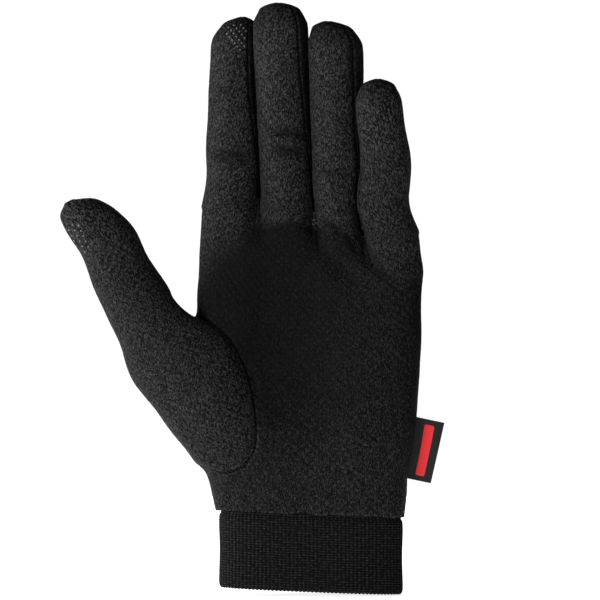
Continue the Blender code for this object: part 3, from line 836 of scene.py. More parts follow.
class Cage:
    """The coarse outer skin: shared points, and faces that each belong to a panel."""

    def __init__(self, hand: Hand, thumb: Thumb) -> None:
        """Lay the hand, the fingers and the thumb.

        Args:
            hand: The hand with its fingers.
            thumb: The thumb.
        """
        self.hand = hand
        self.thumb = thumb
        self.points: list[Vector] = []
        self.faces: list[tuple[int, list[int]]] = []
        palm, back = self.lay_hand()
        self.lay_fingers(palm, back)
        self.lay_thumb(palm, back)

    def point(self, place: Vector) -> int:
        """Add a point and give its number."""
        self.points.append(Vector(place))
        return len(self.points) - 1

    def strip(self, panel: Panel | int, lower: list[int], upper: list[int]) -> None:
        """Join two rows of points with faces, leaving out corners that coincide.

        Args:
            panel: The panel that they belong to, or the number of a part of one.
            lower: The numbers of the first row's points.
            upper: The numbers of the second row's points.
        """
        part = PANELS.index(panel) if isinstance(panel, Panel) else panel
        for i in range(len(lower) - 1):
            corners = (lower[i], lower[i + 1], upper[i + 1], upper[i])
            kept = [c for k, c in enumerate(corners) if c != corners[k - 1]]
            if len(kept) > 2:
                self.faces.append((part, kept))

    def lay_hand(self) -> tuple:
        """Lay the palm and the back.

        Returns:
            Their two grids of point numbers.
        """
        hand = self.hand
        grids = []
        for back in (False, True):
            top = hand.back_top if back else hand.palm_top
            layout = hand.layout(back)
            grid = []
            for r, row in enumerate(layout):
                numbers = []
                for c, cell in enumerate(row):
                    if cell is None:
                        numbers.append(None)
                    elif back and c in (0, hand.columns):
                        numbers.append(grids[0][r][c])
                    elif r == len(layout) - 1:
                        numbers.append(self.point(top[c]))
                    else:
                        numbers.append(self.point(self.hand_place(cell, top[c], back)))
                grid.append(numbers)
            grids.append(grid)
            panel = Panel.BACK if back else Panel.PALM
            for r, (lower, upper) in enumerate(zip(grid, grid[1:])):
                first = hand.hole_columns if hand.is_beside(r) else 0
                self.strip(panel, lower[first:], upper[first:])
        return tuple(grids)

    def hand_place(self, cell: SeamPoint, top: Vector, back: bool) -> Vector:
        """A point of the hand, drawn into the scallops where the fingers begin.

        Args:
            cell: The place, as shares across and up.
            top: The knuckle line's point above it.
            back: Whether it is on the back.

        Returns:
            The point.
        """
        hand = self.hand
        place = hand.point(cell.across, cell.height, not back)
        scallop = smooth_step((cell.height - hand.scallop_from) / (1.0 - hand.scallop_from))
        place.y = mix(place.y, top.y, scallop**hand.scallop_ease)
        return place

    def lay_fingers(self, palm: list, back: list) -> None:
        """Lay the four fingers on the top row of the hand, with the strips between them.

        Args:
            palm: The palm's grid of point numbers.
            back: The back's grid.
        """
        fingers = self.hand.fingers
        palm_top, back_top = palm[-1], back[-1]
        sides = []
        for place, finger in enumerate(fingers):
            start = place * (ARC + 2)
            pad = palm_top[start : start + ARC + 1]
            rear = back_top[start : start + ARC + 1]
            _, _, left_place, right_place = finger.ring(0.0)
            left = self.point(left_place) if finger.has_left_strip else pad[0]
            right = self.point(right_place) if finger.has_right_strip else pad[-1]
            sides.append((left, right))
            for share in finger.row_shares()[1:]:
                new = self.lay_ring(finger, share)
                self.strip(Panel.PALM, pad, new[0])
                self.strip(Panel.BACK, new[1], rear)
                if finger.has_left_strip:
                    old, fresh = [rear[0], left, pad[0]], [new[1][0], new[2], new[0][0]]
                    self.strip(STRIPS[place - 1], old, fresh)
                if finger.has_right_strip:
                    old, fresh = [pad[-1], right, rear[-1]], [new[0][-1], new[3], new[1][-1]]
                    self.strip(STRIPS[place], old, fresh)
                pad, rear, left, right = new
        for place, panel in enumerate(STRIPS):
            corner = place * (ARC + 2) + ARC
            right, left = sides[place][1], sides[place + 1][0]
            middle = self.points[right].lerp(self.points[left], 0.5)
            middle.z -= self.hand.web_drop
            front = palm_top[corner : corner + 3]
            between = [right, self.point(middle), left]
            self.strip(panel, front, between)
            self.strip(panel, between, back_top[corner : corner + 3])

    def lay_ring(self, finger: Finger, share: float) -> tuple:
        """Add one row of a finger.

        Args:
            finger: The finger.
            share: How far up it the row lies.

        Returns:
            The numbers of the pad's and the back's points, and of the left and right side.
        """
        pad, back, left, right = finger.ring(share)
        if share >= 1.0:
            line = [self.point(p) for p in pad]
            if not finger.has_left_strip:
                line[0] = line[1]
            if not finger.has_right_strip:
                line[-1] = line[-2]
            return line, line, line[0], line[-1]
        front = [self.point(p) for p in pad]
        rear = [self.point(p) for p in back]
        if not finger.has_left_strip:
            rear[0] = front[0]
        if not finger.has_right_strip:
            rear[-1] = front[-1]
        left_side = self.point(left) if finger.has_left_strip else front[0]
        right_side = self.point(right) if finger.has_right_strip else front[-1]
        return front, rear, left_side, right_side

    def lay_thumb(self, palm: list, back: list) -> None:
        """Lay the thumb from the seam in the hand to its rounded tip.

        Args:
            palm: The palm's grid of point numbers.
            back: The back's grid.
        """
        hand, thumb = self.hand, self.thumb
        top, low, side = hand.rows_below + hand.rows_beside, hand.rows_below, hand.hole_columns

        def rim(grid: list) -> list[int]:
            """The hole's edge in a grid, from the crotch down to the wrist.

            Args:
                grid: The palm's or the back's point numbers.

            Returns:
                The edge's numbers.
            """
            along_top = [grid[top][c] for c in range(side + 1)]
            down = [grid[r][side] for r in range(top - 1, low, -1)]
            return along_top + down + [grid[low][c] for c in range(side, -1, -1)]

        ring = rim(palm) + rim(back)[-2:0:-1]
        count = len(ring)
        half = round(count * thumb.side_seam)

        def join(lower: list[int], upper: list[int]) -> None:
            """Join two rings with the faces of the thumb's front half and of its back half."""
            self.strip(THUMB_FRONT, lower[: half + 1], upper[: half + 1])
            self.strip(THUMB_BACK, lower[half:] + lower[:1], upper[half:] + upper[:1])

        thumb.set_at(self.points[ring[0]])
        target = thumb.section(0.0, count)
        seam = [self.points[number].copy() for number in ring]
        for step in range(1, thumb.fan_rings + 1):
            t = step / thumb.fan_rings
            new = [
                self.point(thumb.fan_point(seam[k], target[k], k / count, t))
                for k in range(count)
            ]
            join(ring, new)
            ring = new
        for share in thumb.row_shares:
            points = thumb.section(share, count)
            if share < 1.0:
                new = [self.point(p) for p in points]
            else:
                line = [self.point(points[k]) for k in range(1, count // 2)]
                new = [line[0], *line, line[-1], *line[::-1]]
            join(ring, new)
            ring = new


# The cloth


class Fold(NamedTuple):
    """A crease, where its rise is negative, or a ridge across the front of the glove.

    The place is its middle seen from the front. It runs at degrees above level. Its reach is
    along it and its width across it, and both fade out evenly.
    """

    x: float
    z: float
    degrees: float
    reach: float
    width: float
    rise: float


class ShareRow(NamedTuple):
    """A share at a place up or across the glove."""

    place: float
    share: float


class LineRow(NamedTuple):
    """A point of the line where the fingers' pads end, and how wide its soft edge is there."""

    x: float
    z: float
    edge: float


class Swell(NamedTuple):
    """A broad swelling of the glove's outline: its middle seen from the front."""

    x: float
    z: float
    radius: float
    rise: float


class FineSkin:
    """The cage's smooth limit surface as arrays, with a flat layout of each panel."""

    def __init__(self, cage: Cage, levels: int) -> None:
        """Smooth the cage so that the surface passes through its points.

        Args:
            cage: The coarse skin.
            levels: How often it is split.
        """
        body = self.cage_object(cage)
        smooth = body.modifiers.new("smooth", "SUBSURF")
        smooth.use_limit_surface = True
        smooth.levels = smooth.render_levels = 1
        self.fit(body, np.array(cage.points))
        smooth.levels = smooth.render_levels = levels
        mesh = self.evaluated(body)
        self.places = self.vertex_places(mesh)
        self.normals = np.empty(len(mesh.vertices) * 3)
        mesh.vertex_normals.foreach_get("vector", self.normals)
        self.normals = self.normals.reshape(-1, 3)
        corners = np.empty(len(mesh.loops), dtype=np.int64)
        mesh.loops.foreach_get("vertex_index", corners)
        self.faces = corners.reshape(-1, 4)
        self.calm_normals()
        flat = np.empty(len(mesh.loops) * 2)
        mesh.uv_layers["cloth"].uv.foreach_get("vector", flat)
        self.flat = flat.reshape(-1, 4, 2)
        self.panel = np.empty(len(mesh.polygons), dtype=np.int64)
        mesh.polygons.foreach_get("material_index", self.panel)
        bpy.data.meshes.remove(mesh)
        bpy.data.objects.remove(body)
        for part in range(THUMB_BACK + 1):
            axis = cage.thumb.axis if part >= THUMB_FRONT else Vector((0.0, 0.0, 1.0))
            self.true_scale(self.panel == part, np.array(axis))

    def cage_object(self, cage: Cage) -> Object:
        """The cage as an object, unwrapped along the seams.

        Args:
            cage: The coarse skin.

        Returns:
            The object.
        """
        mesh = bpy.data.meshes.new("cage")
        mesh.from_pydata(cage.points, [], [corners for _, corners in cage.faces])
        for part in range(THUMB_BACK + 1):
            mesh.materials.append(bpy.data.materials.new(f"layout_{part}"))
        for polygon, (part, _) in zip(mesh.polygons, cage.faces):
            polygon.material_index = part
        work = bmesh.new()
        work.from_mesh(mesh)
        bmesh.ops.recalc_face_normals(work, faces=work.faces)
        work.faces.ensure_lookup_table()
        inside = Vector((0.0, 0.0, cage.hand.hem_height + cage.hand.length / 2.0))
        outward = sum(f.calc_area() * f.normal.dot(f.calc_center_median() - inside)
                      for f in work.faces)
        if outward < 0.0:
            bmesh.ops.reverse_faces(work, faces=work.faces)
        for edge in work.edges:
            edge.seam = len({face.material_index for face in edge.link_faces}) > 1
        work.to_mesh(mesh)
        work.free()
        mesh.uv_layers.new(name="cloth")
        body = bpy.data.objects.new("cage", mesh)
        bpy.context.scene.collection.objects.link(body)
        bpy.context.view_layer.objects.active = body
        for other in bpy.context.view_layer.objects:
            other.select_set(other is body)
        bpy.ops.object.mode_set(mode="EDIT")
        bpy.ops.mesh.select_all(action="SELECT")
        bpy.ops.uv.unwrap(method="ANGLE_BASED", margin=0.001)
        bpy.ops.object.mode_set(mode="OBJECT")
        return body

    def calm_normals(self, rounds: int = 4) -> None:
        """Even out the normals, so that a tiny fold where seams meet doesn't turn the wall.

        Args:
            rounds: How often they are evened out.
        """
        starts = self.faces.ravel()
        ends = np.roll(self.faces, -1, axis=1).ravel()
        for _ in range(rounds):
            total = self.normals.copy()
            np.add.at(total, starts, self.normals[ends])
            np.add.at(total, ends, self.normals[starts])
            self.normals = total / np.linalg.norm(total, axis=1)[:, None]

    @staticmethod
    def vertex_places(mesh: Mesh) -> np.ndarray:
        """The mesh's points as an array.

        Args:
            mesh: The mesh.

        Returns:
            A row for each point.
        """
        flat = np.empty(len(mesh.vertices) * 3)
        mesh.vertices.foreach_get("co", flat)
        return flat.reshape(-1, 3)

    @staticmethod
    def evaluated(body: Object) -> Mesh:
        """A new mesh of the object as its modifiers leave it.

        Args:
            body: The object.

        Returns:
            The mesh.
        """
        depsgraph = bpy.context.evaluated_depsgraph_get()
        depsgraph.update()
        return bpy.data.meshes.new_from_object(
            body.evaluated_get(depsgraph), preserve_all_data_layers=True, depsgraph=depsgraph
        )

    def fit(self, body: Object, wanted: np.ndarray, rounds: int = 8) -> None:
        """Move the cage's points until the smooth surface passes through the wanted ones.

        Args:
            body: The cage's object.
            wanted: Where its points should lie.
            rounds: How often they are moved.
        """
        for _ in range(rounds):
            smooth = self.evaluated(body)
            miss = wanted - self.vertex_places(smooth)[: len(wanted)]
            bpy.data.meshes.remove(smooth)
            moved = self.vertex_places(body.data) + miss
            body.data.vertices.foreach_set("co", moved.ravel())
            body.data.update()

    def true_scale(self, chosen: np.ndarray, axis: np.ndarray) -> None:
        """Bring one panel's flat layout to metres, with the knit's rows across the axis.

        Args:
            chosen: Which faces are the panel's.
            axis: The way that its knit runs up.
        """
        flat = self.flat[chosen]
        places = self.places[self.faces[chosen]]
        first, second = flat[:, 1] - flat[:, 0], flat[:, 3] - flat[:, 0]
        twice = first[:, 0] * second[:, 1] - first[:, 1] * second[:, 0]
        real = np.cross(places[:, 1] - places[:, 0], places[:, 3] - places[:, 0])
        area = np.linalg.norm(real, axis=1)
        scale = math.sqrt(area.sum() / np.abs(twice).sum())
        climb = places @ axis
        one, two = climb[:, 1] - climb[:, 0], climb[:, 3] - climb[:, 0]
        slope = np.stack(
            (one * second[:, 1] - two * first[:, 1], two * first[:, 0] - one * second[:, 0]), 1
        ) / np.where(np.abs(twice) < 1e-12, 1e-12, twice)[:, None]
        size = np.maximum(np.linalg.norm(slope, axis=1), 1e-9)
        unit = slope / size[:, None]
        _, vectors = np.linalg.eigh(np.einsum("n,ni,nj->ij", area, unit, unit))
        up = vectors[:, -1]
        if (area @ unit) @ up < 0.0:
            up = -up
        turn = np.array(((up[1], -up[0]), up))
        self.flat[chosen] = flat @ turn.T * scale

    def edge_pairs(self) -> tuple[np.ndarray, np.ndarray]:
        """The edges along seams and along the hem.

        Returns:
            Seam edges as rows of two point numbers and two panels, and hem edges as rows of two
            point numbers.
        """
        starts = self.faces.ravel()
        ends = np.roll(self.faces, -1, axis=1).ravel()
        owner = np.repeat(self.panel, 4)
        low, high = np.minimum(starts, ends), np.maximum(starts, ends)
        order = np.lexsort((high, low))
        low, high, owner = low[order], high[order], owner[order]
        same = (low[1:] == low[:-1]) & (high[1:] == high[:-1])
        first = np.flatnonzero(same)
        apart = first[owner[first] != owner[first + 1]]
        seams = np.stack((low[apart], high[apart], owner[apart], owner[apart + 1]), axis=1)
        paired = np.zeros(len(low), dtype=bool)
        paired[first] = paired[first + 1] = True
        return seams, np.stack((low[~paired], high[~paired]), axis=1)


def trace(edges: list[tuple[int, int]]) -> list[list[int]]:
    """Put edges in order, as runs that end where runs meet.

    Args:
        edges: Pairs of point numbers.

    Returns:
        Each run's point numbers in order. A closed run ends on its first point.
    """
    links: dict[int, list[int]] = {}
    for start, end in edges:
        links.setdefault(start, []).append(end)
        links.setdefault(end, []).append(start)
    ends = sorted(p for p, near in links.items() if len(near) != 2)
    runs = []
    for start in ends + sorted(links):
        while links[start]:
            run = [start]
            while links[run[-1]]:
                following = links[run[-1]].pop(0)
                links[following].remove(run[-1])
                run.append(following)
                if following in ends:
                    break
            runs.append(run)
    return runs


@dataclass
class Cloth:
    """The knitted panels: the smooth skin with its seams, folds and wall."""

    levels: int = 3
    wall: float = 1.2 * MM
    seam_gap: float = 0.24 * MM
    seam_depth: float = 0.75 * MM
    seam_roll: float = 1.5 * MM
    side_share: float = 0.12
    pucker: float = 0.13 * MM
    pucker_reach: float = 2.2 * MM
    pucker_pitch: float = 3.4 * MM
    hem_wave: float = 0.9 * MM
    hem_pitch: float = 7.0 * MM
    hem_reach: float = 7.0 * MM
    rumple: float = 0.28 * MM
    rumple_size: float = 15.0 * MM
    crumple: float = 0.10 * MM
    crumple_size: float = 5.0 * MM
    sharp_angle: float = math.radians(70.0)
    folds: tuple = (
        # the middle finger: a raised band between two creases, and the edge of its pad
        Fold(-9.0 * MM, 183.2 * MM, -4.0, 8.0 * MM, 1.8 * MM, -0.95 * MM),
        Fold(-9.0 * MM, 180.0 * MM, -4.0, 8.0 * MM, 1.8 * MM, 0.70 * MM),
        Fold(-9.0 * MM, 176.6 * MM, -4.0, 8.0 * MM, 1.8 * MM, -1.15 * MM),
        Fold(-8.6 * MM, 146.8 * MM, 3.0, 9.0 * MM, 1.8 * MM, -1.10 * MM),
        Fold(-8.6 * MM, 151.0 * MM, 3.0, 9.0 * MM, 3.0 * MM, 0.60 * MM),
        # the ring finger: one small crease, and the edge of its pad
        Fold(9.4 * MM, 167.8 * MM, -6.0, 6.0 * MM, 1.3 * MM, -0.90 * MM),
        Fold(6.6 * MM, 203.0 * MM, -6.0, 6.0 * MM, 1.6 * MM, -0.20 * MM),
        Fold(9.0 * MM, 146.0 * MM, -30.0, 6.0 * MM, 1.8 * MM, -0.90 * MM),
        # the index finger: a broad shallow dent at its middle joint
        Fold(-32.5 * MM, 174.5 * MM, 8.0, 8.0 * MM, 2.4 * MM, -1.00 * MM),
        Fold(-33.0 * MM, 169.5 * MM, 8.0, 8.0 * MM, 2.4 * MM, 0.40 * MM),
        # the palm's hollow, and under the ring and little fingers a dent between two ridges
        Fold(-6.0 * MM, 106.0 * MM, 80.0, 36.0 * MM, 17.0 * MM, -2.6 * MM),
        Fold(15.8 * MM, 138.8 * MM, -52.0, 6.0 * MM, 3.2 * MM, -1.60 * MM),
        Fold(8.2 * MM, 141.0 * MM, -69.0, 9.0 * MM, 2.2 * MM, 0.80 * MM),
        Fold(30.0 * MM, 133.0 * MM, -36.0, 8.0 * MM, 1.8 * MM, 0.70 * MM),
        Fold(26.0 * MM, 130.0 * MM, -36.0, 8.0 * MM, 2.0 * MM, -0.70 * MM),
    )
    # These set the palm panel's painted shade: on fingertips, in narrow creases, and under the
    # pads' line in the palm.
    tip_reach: float = 11.0 * MM
    tip_shade: float = 0.85
    tip_width: float = 0.55
    crease_width: float = 4.0 * MM
    crease_depth: float = 1.0 * MM
    pad_line: tuple = (
        LineRow(-42.4 * MM, 150.0 * MM, 30.0 * MM),
        LineRow(-30.0 * MM, 152.0 * MM, 20.0 * MM),
        LineRow(-22.4 * MM, 152.0 * MM, 9.0 * MM),
        LineRow(-1.2 * MM, 149.2 * MM, 5.0 * MM),
        LineRow(13.6 * MM, 146.0 * MM, 5.0 * MM),
        LineRow(25.6 * MM, 138.0 * MM, 7.0 * MM),
        LineRow(35.6 * MM, 132.0 * MM, 12.0 * MM),
        LineRow(43.6 * MM, 134.0 * MM, 16.0 * MM),
    )
    palm_fade: tuple = (
        ShareRow(34.0 * MM, 0.42),
        ShareRow(55.0 * MM, 0.52),
        ShareRow(78.0 * MM, 0.95),
        ShareRow(100.0 * MM, 1.0),
    )
    palm_side: tuple = (
        ShareRow(-42.0 * MM, 1.10),
        ShareRow(-24.0 * MM, 1.22),
        ShareRow(-4.0 * MM, 1.10),
        ShareRow(12.0 * MM, 0.88),
        ShareRow(24.0 * MM, 0.66),
        ShareRow(34.0 * MM, 0.70),
        ShareRow(42.0 * MM, 1.10),
    )
    swells: tuple = (
        Swell(-71.0 * MM, 86.0 * MM, 11.0 * MM, 2.4 * MM),
        Swell(-43.5 * MM, 140.0 * MM, 16.0 * MM, 0.7 * MM),
        Swell(-46.0 * MM, 51.5 * MM, 6.0 * MM, 1.8 * MM),
        Swell(-38.8 * MM, 36.6 * MM, 8.0 * MM, 0.8 * MM),
        Swell(-42.4 * MM, 176.0 * MM, 10.0 * MM, 0.9 * MM),
        Swell(44.4 * MM, 132.0 * MM, 14.0 * MM, 1.2 * MM),
    )

    def cut(self, cage: Cage) -> None:
        """Smooth the skin, find its seams and raise its relief.

        Args:
            cage: The coarse skin.
        """
        self.skin = FineSkin(cage, self.levels)
        places = self.skin.places
        above = (places[:, 2] - cage.hand.hem_height) / self.hem_reach
        waves = np.array([noise.noise(Vector((p[0], p[1], 0.0)) / self.hem_pitch) for p in places])
        places[:, 2] += self.hem_wave * waves * np.exp(-above**2)
        seams, hem = self.skin.edge_pairs()
        pairs: dict[frozenset, list] = {}
        for start, end, one, two in seams.tolist():
            pairs.setdefault(frozenset((one, two)), []).append((start, end))
        self.seams = [run for pair in sorted(pairs, key=sorted) for run in trace(pairs[pair])]
        self.hem = trace([tuple(edge) for edge in hem.tolist()])
        self.measure_edges()
        self.lifted = self.skin.places + self.skin.normals * self.relief()[:, None]
        # Painted shade for the palm panel, in part knit drawn smooth.
        self.smooth = self.stretch(cage.hand)

    def measure_edges(self) -> None:
        """Find each point's distance to the nearest seam, and its place along it."""
        spots = []
        for run in self.seams + self.hem:
            along = 0.0
            before = None
            for number in run:
                place = Vector(self.skin.places[number])
                along += (place - before).length if before is not None else 0.0
                spots.append((place, along))
                before = place
        tree = KDTree(len(spots))
        for i, (place, _) in enumerate(spots):
            tree.insert(place, i)
        tree.balance()
        count = len(self.skin.places)
        self.distance, self.along = np.empty(count), np.empty(count)
        for i, place in enumerate(self.skin.places):
            _, nearest, distance = tree.find(place)
            self.distance[i], self.along[i] = distance, spots[nearest][1]

    def relief(self) -> np.ndarray:
        """How far each point of the skin stands out of the smooth surface.

        Returns:
            A height for each point.
        """
        near = np.clip(1.0 - self.distance / self.seam_roll, 0.0, 1.0)
        sideways = 1.0 - self.skin.normals[:, 1] ** 2
        pressed = 1.0 - (1.0 - self.side_share) * sideways**2
        total = -self.seam_depth * (1.0 - np.sqrt(1.0 - near**2)) * pressed
        gather = np.exp(-(((self.distance - self.seam_roll) / self.pucker_reach) ** 2))
        wave = np.cos(math.tau * self.along / self.pucker_pitch)
        total += self.pucker * gather * wave * pressed
        for amount, size in ((self.rumple, self.rumple_size), (self.crumple, self.crumple_size)):
            total += amount * np.array([noise.noise(Vector(p) / size) for p in self.skin.places])
        x, z = self.skin.places[:, 0], self.skin.places[:, 2]
        for fold in self.folds:
            total += fold.rise * self.fold_share(fold)
        for swell in self.swells:
            away = ((x - swell.x) ** 2 + (z - swell.z) ** 2) / swell.radius**2
            total += swell.rise * np.exp(-away) * sideways
        return total

    def fold_share(self, fold: Fold) -> np.ndarray:
        """How much of a fold's rise each point takes: all on its line, none on the back.

        Args:
            fold: The fold.

        Returns:
            A share for each point.
        """
        x, z = self.skin.places[:, 0] - fold.x, self.skin.places[:, 2] - fold.z
        turn = math.radians(fold.degrees)
        along = x * math.cos(turn) + z * math.sin(turn)
        across = z * math.cos(turn) - x * math.sin(turn)
        shape = np.exp(-((along / fold.reach) ** 4) - (across / fold.width) ** 2)
        return shape * np.clip(-self.skin.normals[:, 1], 0.0, 1.0)

    def stretch(self, hand: Hand) -> np.ndarray:
        """How much painted shade the knit takes, in part knit drawn smooth: in the palm's hollow,
        on fingertips, in creases.

        Args:
            hand: The hand, for the places of its fingertips.

        Returns:
            A share for each point.
        """
        x, z = self.skin.places[:, 0], self.skin.places[:, 2]
        # Under the pads' line the palm takes painted shade, varied by height and across.
        across = [row.x for row in self.pad_line]
        line = np.interp(x, across, [row.z for row in self.pad_line])
        edge = np.interp(x, across, [row.edge for row in self.pad_line])
        under = np.clip((line - z) / edge, 0.0, 1.0)
        lower = np.interp(z, [row.place for row in self.palm_fade],
                          [row.share for row in self.palm_fade])
        aside = np.interp(x, [row.place for row in self.palm_side],
                          [row.share for row in self.palm_side])
        front = np.clip(-2.0 * self.skin.normals[:, 1], 0.0, 1.0)
        total = under * under * (3.0 - 2.0 * under) * lower * aside * front
        # Fingertips take painted shade towards their tops.
        for finger in hand.fingers:
            centre, _ = finger.centre(finger.tip)
            near = np.abs(x - centre) < self.tip_width * finger.width
            rise = np.clip((z - finger.tip) / self.tip_reach + 1.0, 0.0, 1.0)
            total = np.maximum(total, self.tip_shade * near * rise)
        # Narrow creases take painted shade.
        for fold in self.folds:
            if fold.rise < 0.0 and fold.width < self.crease_width:
                deep = -fold.rise / self.crease_depth
                total = np.maximum(total, deep * self.fold_share(fold))
        return total

    def drawn_in(self, faces: np.ndarray) -> tuple[np.ndarray, np.ndarray]:
        """Find a panel's edge, and the moves that draw it in from the seam.

        Args:
            faces: The panel's faces.

        Returns:
            The edge's runs as rows of two point numbers, and a move for each point.
        """
        starts, ends = faces.ravel(), np.roll(faces, -1, axis=1).ravel()
        forward = {pair: i for i, pair in enumerate(zip(starts.tolist(), ends.tolist()))}
        alone = [i for (a, b), i in forward.items() if (b, a) not in forward]
        places = self.skin.places
        middles = places[faces].mean(axis=1)[np.array(alone) // 4]
        start, end = starts[alone], ends[alone]
        run = places[end] - places[start]
        run /= np.linalg.norm(run, axis=1)[:, None]
        aside = middles - places[start]
        aside -= run * np.einsum("ij,ij->i", aside, run)[:, None]
        aside /= np.linalg.norm(aside, axis=1)[:, None]
        moves = np.zeros_like(places)
        np.add.at(moves, start, aside)
        np.add.at(moves, end, aside)
        length = np.linalg.norm(moves, axis=1)
        moves *= (self.seam_gap / 2.0 / np.maximum(length, 0.1))[:, None]
        return np.stack((start, end), axis=1), moves

    def make(self, panel: Panel, material: Material) -> Object:
        """Make one panel with its wall.

        Args:
            panel: The panel.
            material: Its knit.

        Returns:
            The panel's object.
        """
        part = PANELS.index(panel)
        chosen = (self.skin.panel >= part) if part == THUMB_FRONT else (self.skin.panel == part)
        faces, flat = self.skin.faces[chosen], self.skin.flat[chosen]
        rim, moves = self.drawn_in(faces)
        used = np.unique(faces)
        number = np.zeros(len(self.skin.places), dtype=np.int64)
        number[used] = np.arange(len(used))
        outer = (self.lifted + moves)[used]
        inner = (self.skin.places - self.skin.normals * self.wall)[used]
        corner_flat = np.zeros((len(used), 2))
        corner_flat[number[faces]] = flat
        rim = number[rim]
        behind = rim + len(used)
        sides = np.stack((rim[:, 1], rim[:, 0], behind[:, 0], behind[:, 1]), axis=1)
        quads = np.concatenate((number[faces], number[faces][:, ::-1] + len(used), sides))
        side_flat = corner_flat[np.stack((rim[:, 1], rim[:, 0], rim[:, 0], rim[:, 1]), axis=1)]
        mesh = bpy.data.meshes.new(panel.value)
        mesh.from_pydata(np.concatenate((outer, inner)), [], quads)
        layer = mesh.uv_layers.new(name="cloth")
        layer.uv.foreach_set("vector", np.concatenate((flat, flat[:, ::-1], side_flat)).ravel())
        # Only the palm panel carries the painted shade.
        drawn_and_shade_share = self.smooth if panel is Panel.PALM else np.zeros(len(self.distance))
        for name, values in (("from_seam", self.distance), ("stretch", drawn_and_shade_share)):
            attribute = mesh.attributes.new(name, "FLOAT", "POINT")
            attribute.data.foreach_set("value", np.tile(values[used], 2).astype(np.float32))
        mesh.shade_smooth()
        mesh.set_sharp_from_angle(angle=self.sharp_angle)
        mesh.materials.append(material)
        return add_piece(f"{panel.value}_knit", mesh, "knit", panel.value)


# Helpers that make pieces and node trees


def add_piece(name: str, mesh: Mesh, slot: str, *nodes: str) -> Object:
    """Put a finished mesh in the scene as a piece of the glove.

    Args:
        name: The piece's name.
        mesh: Its mesh, in place.
        slot: The record's material slot that it stands for; not used.
        nodes: The CAD nodes that it stands for.

    Returns:
        The piece's object.
    """
    piece = bpy.data.objects.new(name, mesh)
    bpy.context.scene.collection.objects.link(piece)
    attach(piece, "root")
    if nodes:
        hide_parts(*nodes)
    LOG.info("%s: %d faces", name, len(mesh.polygons))
    return piece


def feed(tree: NodeTree, node: Node, inputs: dict) -> None:
    """Give a node's inputs their values and links.

    Args:
        tree: The tree that it is in.
        node: The node.
        inputs: By name or number, a value, a socket, or a node whose first output goes in.
    """
    for place, value in inputs.items():
        if isinstance(value, Node):
            value = value.outputs[0]
        if isinstance(value, NodeSocket):
            tree.links.new(value, node.inputs[place])
        else:
            node.inputs[place].default_value = value


def add_node(tree: NodeTree, kind: str, inputs: dict | None = None, **settings: object) -> Node:
    """Add a node with its settings, its values and its links.

    Args:
        tree: The tree that it goes in.
        kind: The node's type name.
        inputs: What goes in each input, as feed takes it.
        settings: The node's own properties.

    Returns:
        The node.
    """
    node = tree.nodes.new(kind)
    for name, value in settings.items():
        setattr(node, name, value)
    feed(tree, node, inputs or {})
    return node


def linear(code: str) -> tuple[float, float, float, float]:
    """Turn an sRGB hex colour to linear values with an alpha of 1.

    Args:
        code: The colour, as # and six hex digits.

    Returns:
        Its red, green, blue and alpha.
    """
    channels = []
    for i in (1, 3, 5):
        value = int(code[i : i + 2], 16) / 255.0
        channels.append(value / 12.92 if value <= 0.04045 else ((value + 0.055) / 1.055) ** 2.4)
    return (*channels, 1.0)


class Recipe:
    """A Geometry Nodes tree with named inputs, which is run once and leaves a plain mesh."""

    def __init__(self, name: str, inputs: dict[str, str]) -> None:
        """Start a tree.

        Args:
            name: The tree's name.
            inputs: The socket type of each named input.
        """
        self.tree = bpy.data.node_groups.new(name, "GeometryNodeTree")
        face = self.tree.interface
        face.new_socket("Geometry", in_out="INPUT", socket_type="NodeSocketGeometry")
        for label, kind in inputs.items():
            face.new_socket(label, in_out="INPUT", socket_type=kind)
        face.new_socket("Geometry", in_out="OUTPUT", socket_type="NodeSocketGeometry")
        self.start = self.add("NodeGroupInput").outputs

    def add(self, kind: str, inputs: dict | None = None, **settings: object) -> Node:
        """Add a node to the tree."""
        return add_node(self.tree, kind, inputs, **settings)

    def finish(self, geometry: Node) -> None:
        """End the tree: make instances real and give everything its material.

        Args:
            geometry: The node that ends in the shape.
        """
        real = self.add("GeometryNodeRealizeInstances", {"Geometry": geometry})
        dressed = {"Geometry": real, "Material": self.start["Material"]}
        self.add("NodeGroupOutput", {0: self.add("GeometryNodeSetMaterial", dressed)})

    def run(self, base: Mesh, values: dict[str, object]) -> Mesh:
        """Run the tree on a mesh.

        Args:
            base: The mesh that the tree starts from.
            values: A value for each named input.

        Returns:
            A plain mesh.
        """
        body = bpy.data.objects.new("base", base)
        bpy.context.scene.collection.objects.link(body)
        modifier = body.modifiers.new("recipe", "NODES")
        modifier.node_group = self.tree
        for item in self.tree.interface.items_tree:
            if item.in_out == "INPUT" and item.name in values:
                modifier[item.identifier] = values[item.name]
        depsgraph = bpy.context.evaluated_depsgraph_get()
        depsgraph.update()
        made = bpy.data.meshes.new_from_object(
            body.evaluated_get(depsgraph), preserve_all_data_layers=True, depsgraph=depsgraph
        )
        bpy.data.objects.remove(body)
        made.shade_smooth()
        return made


# Finishes


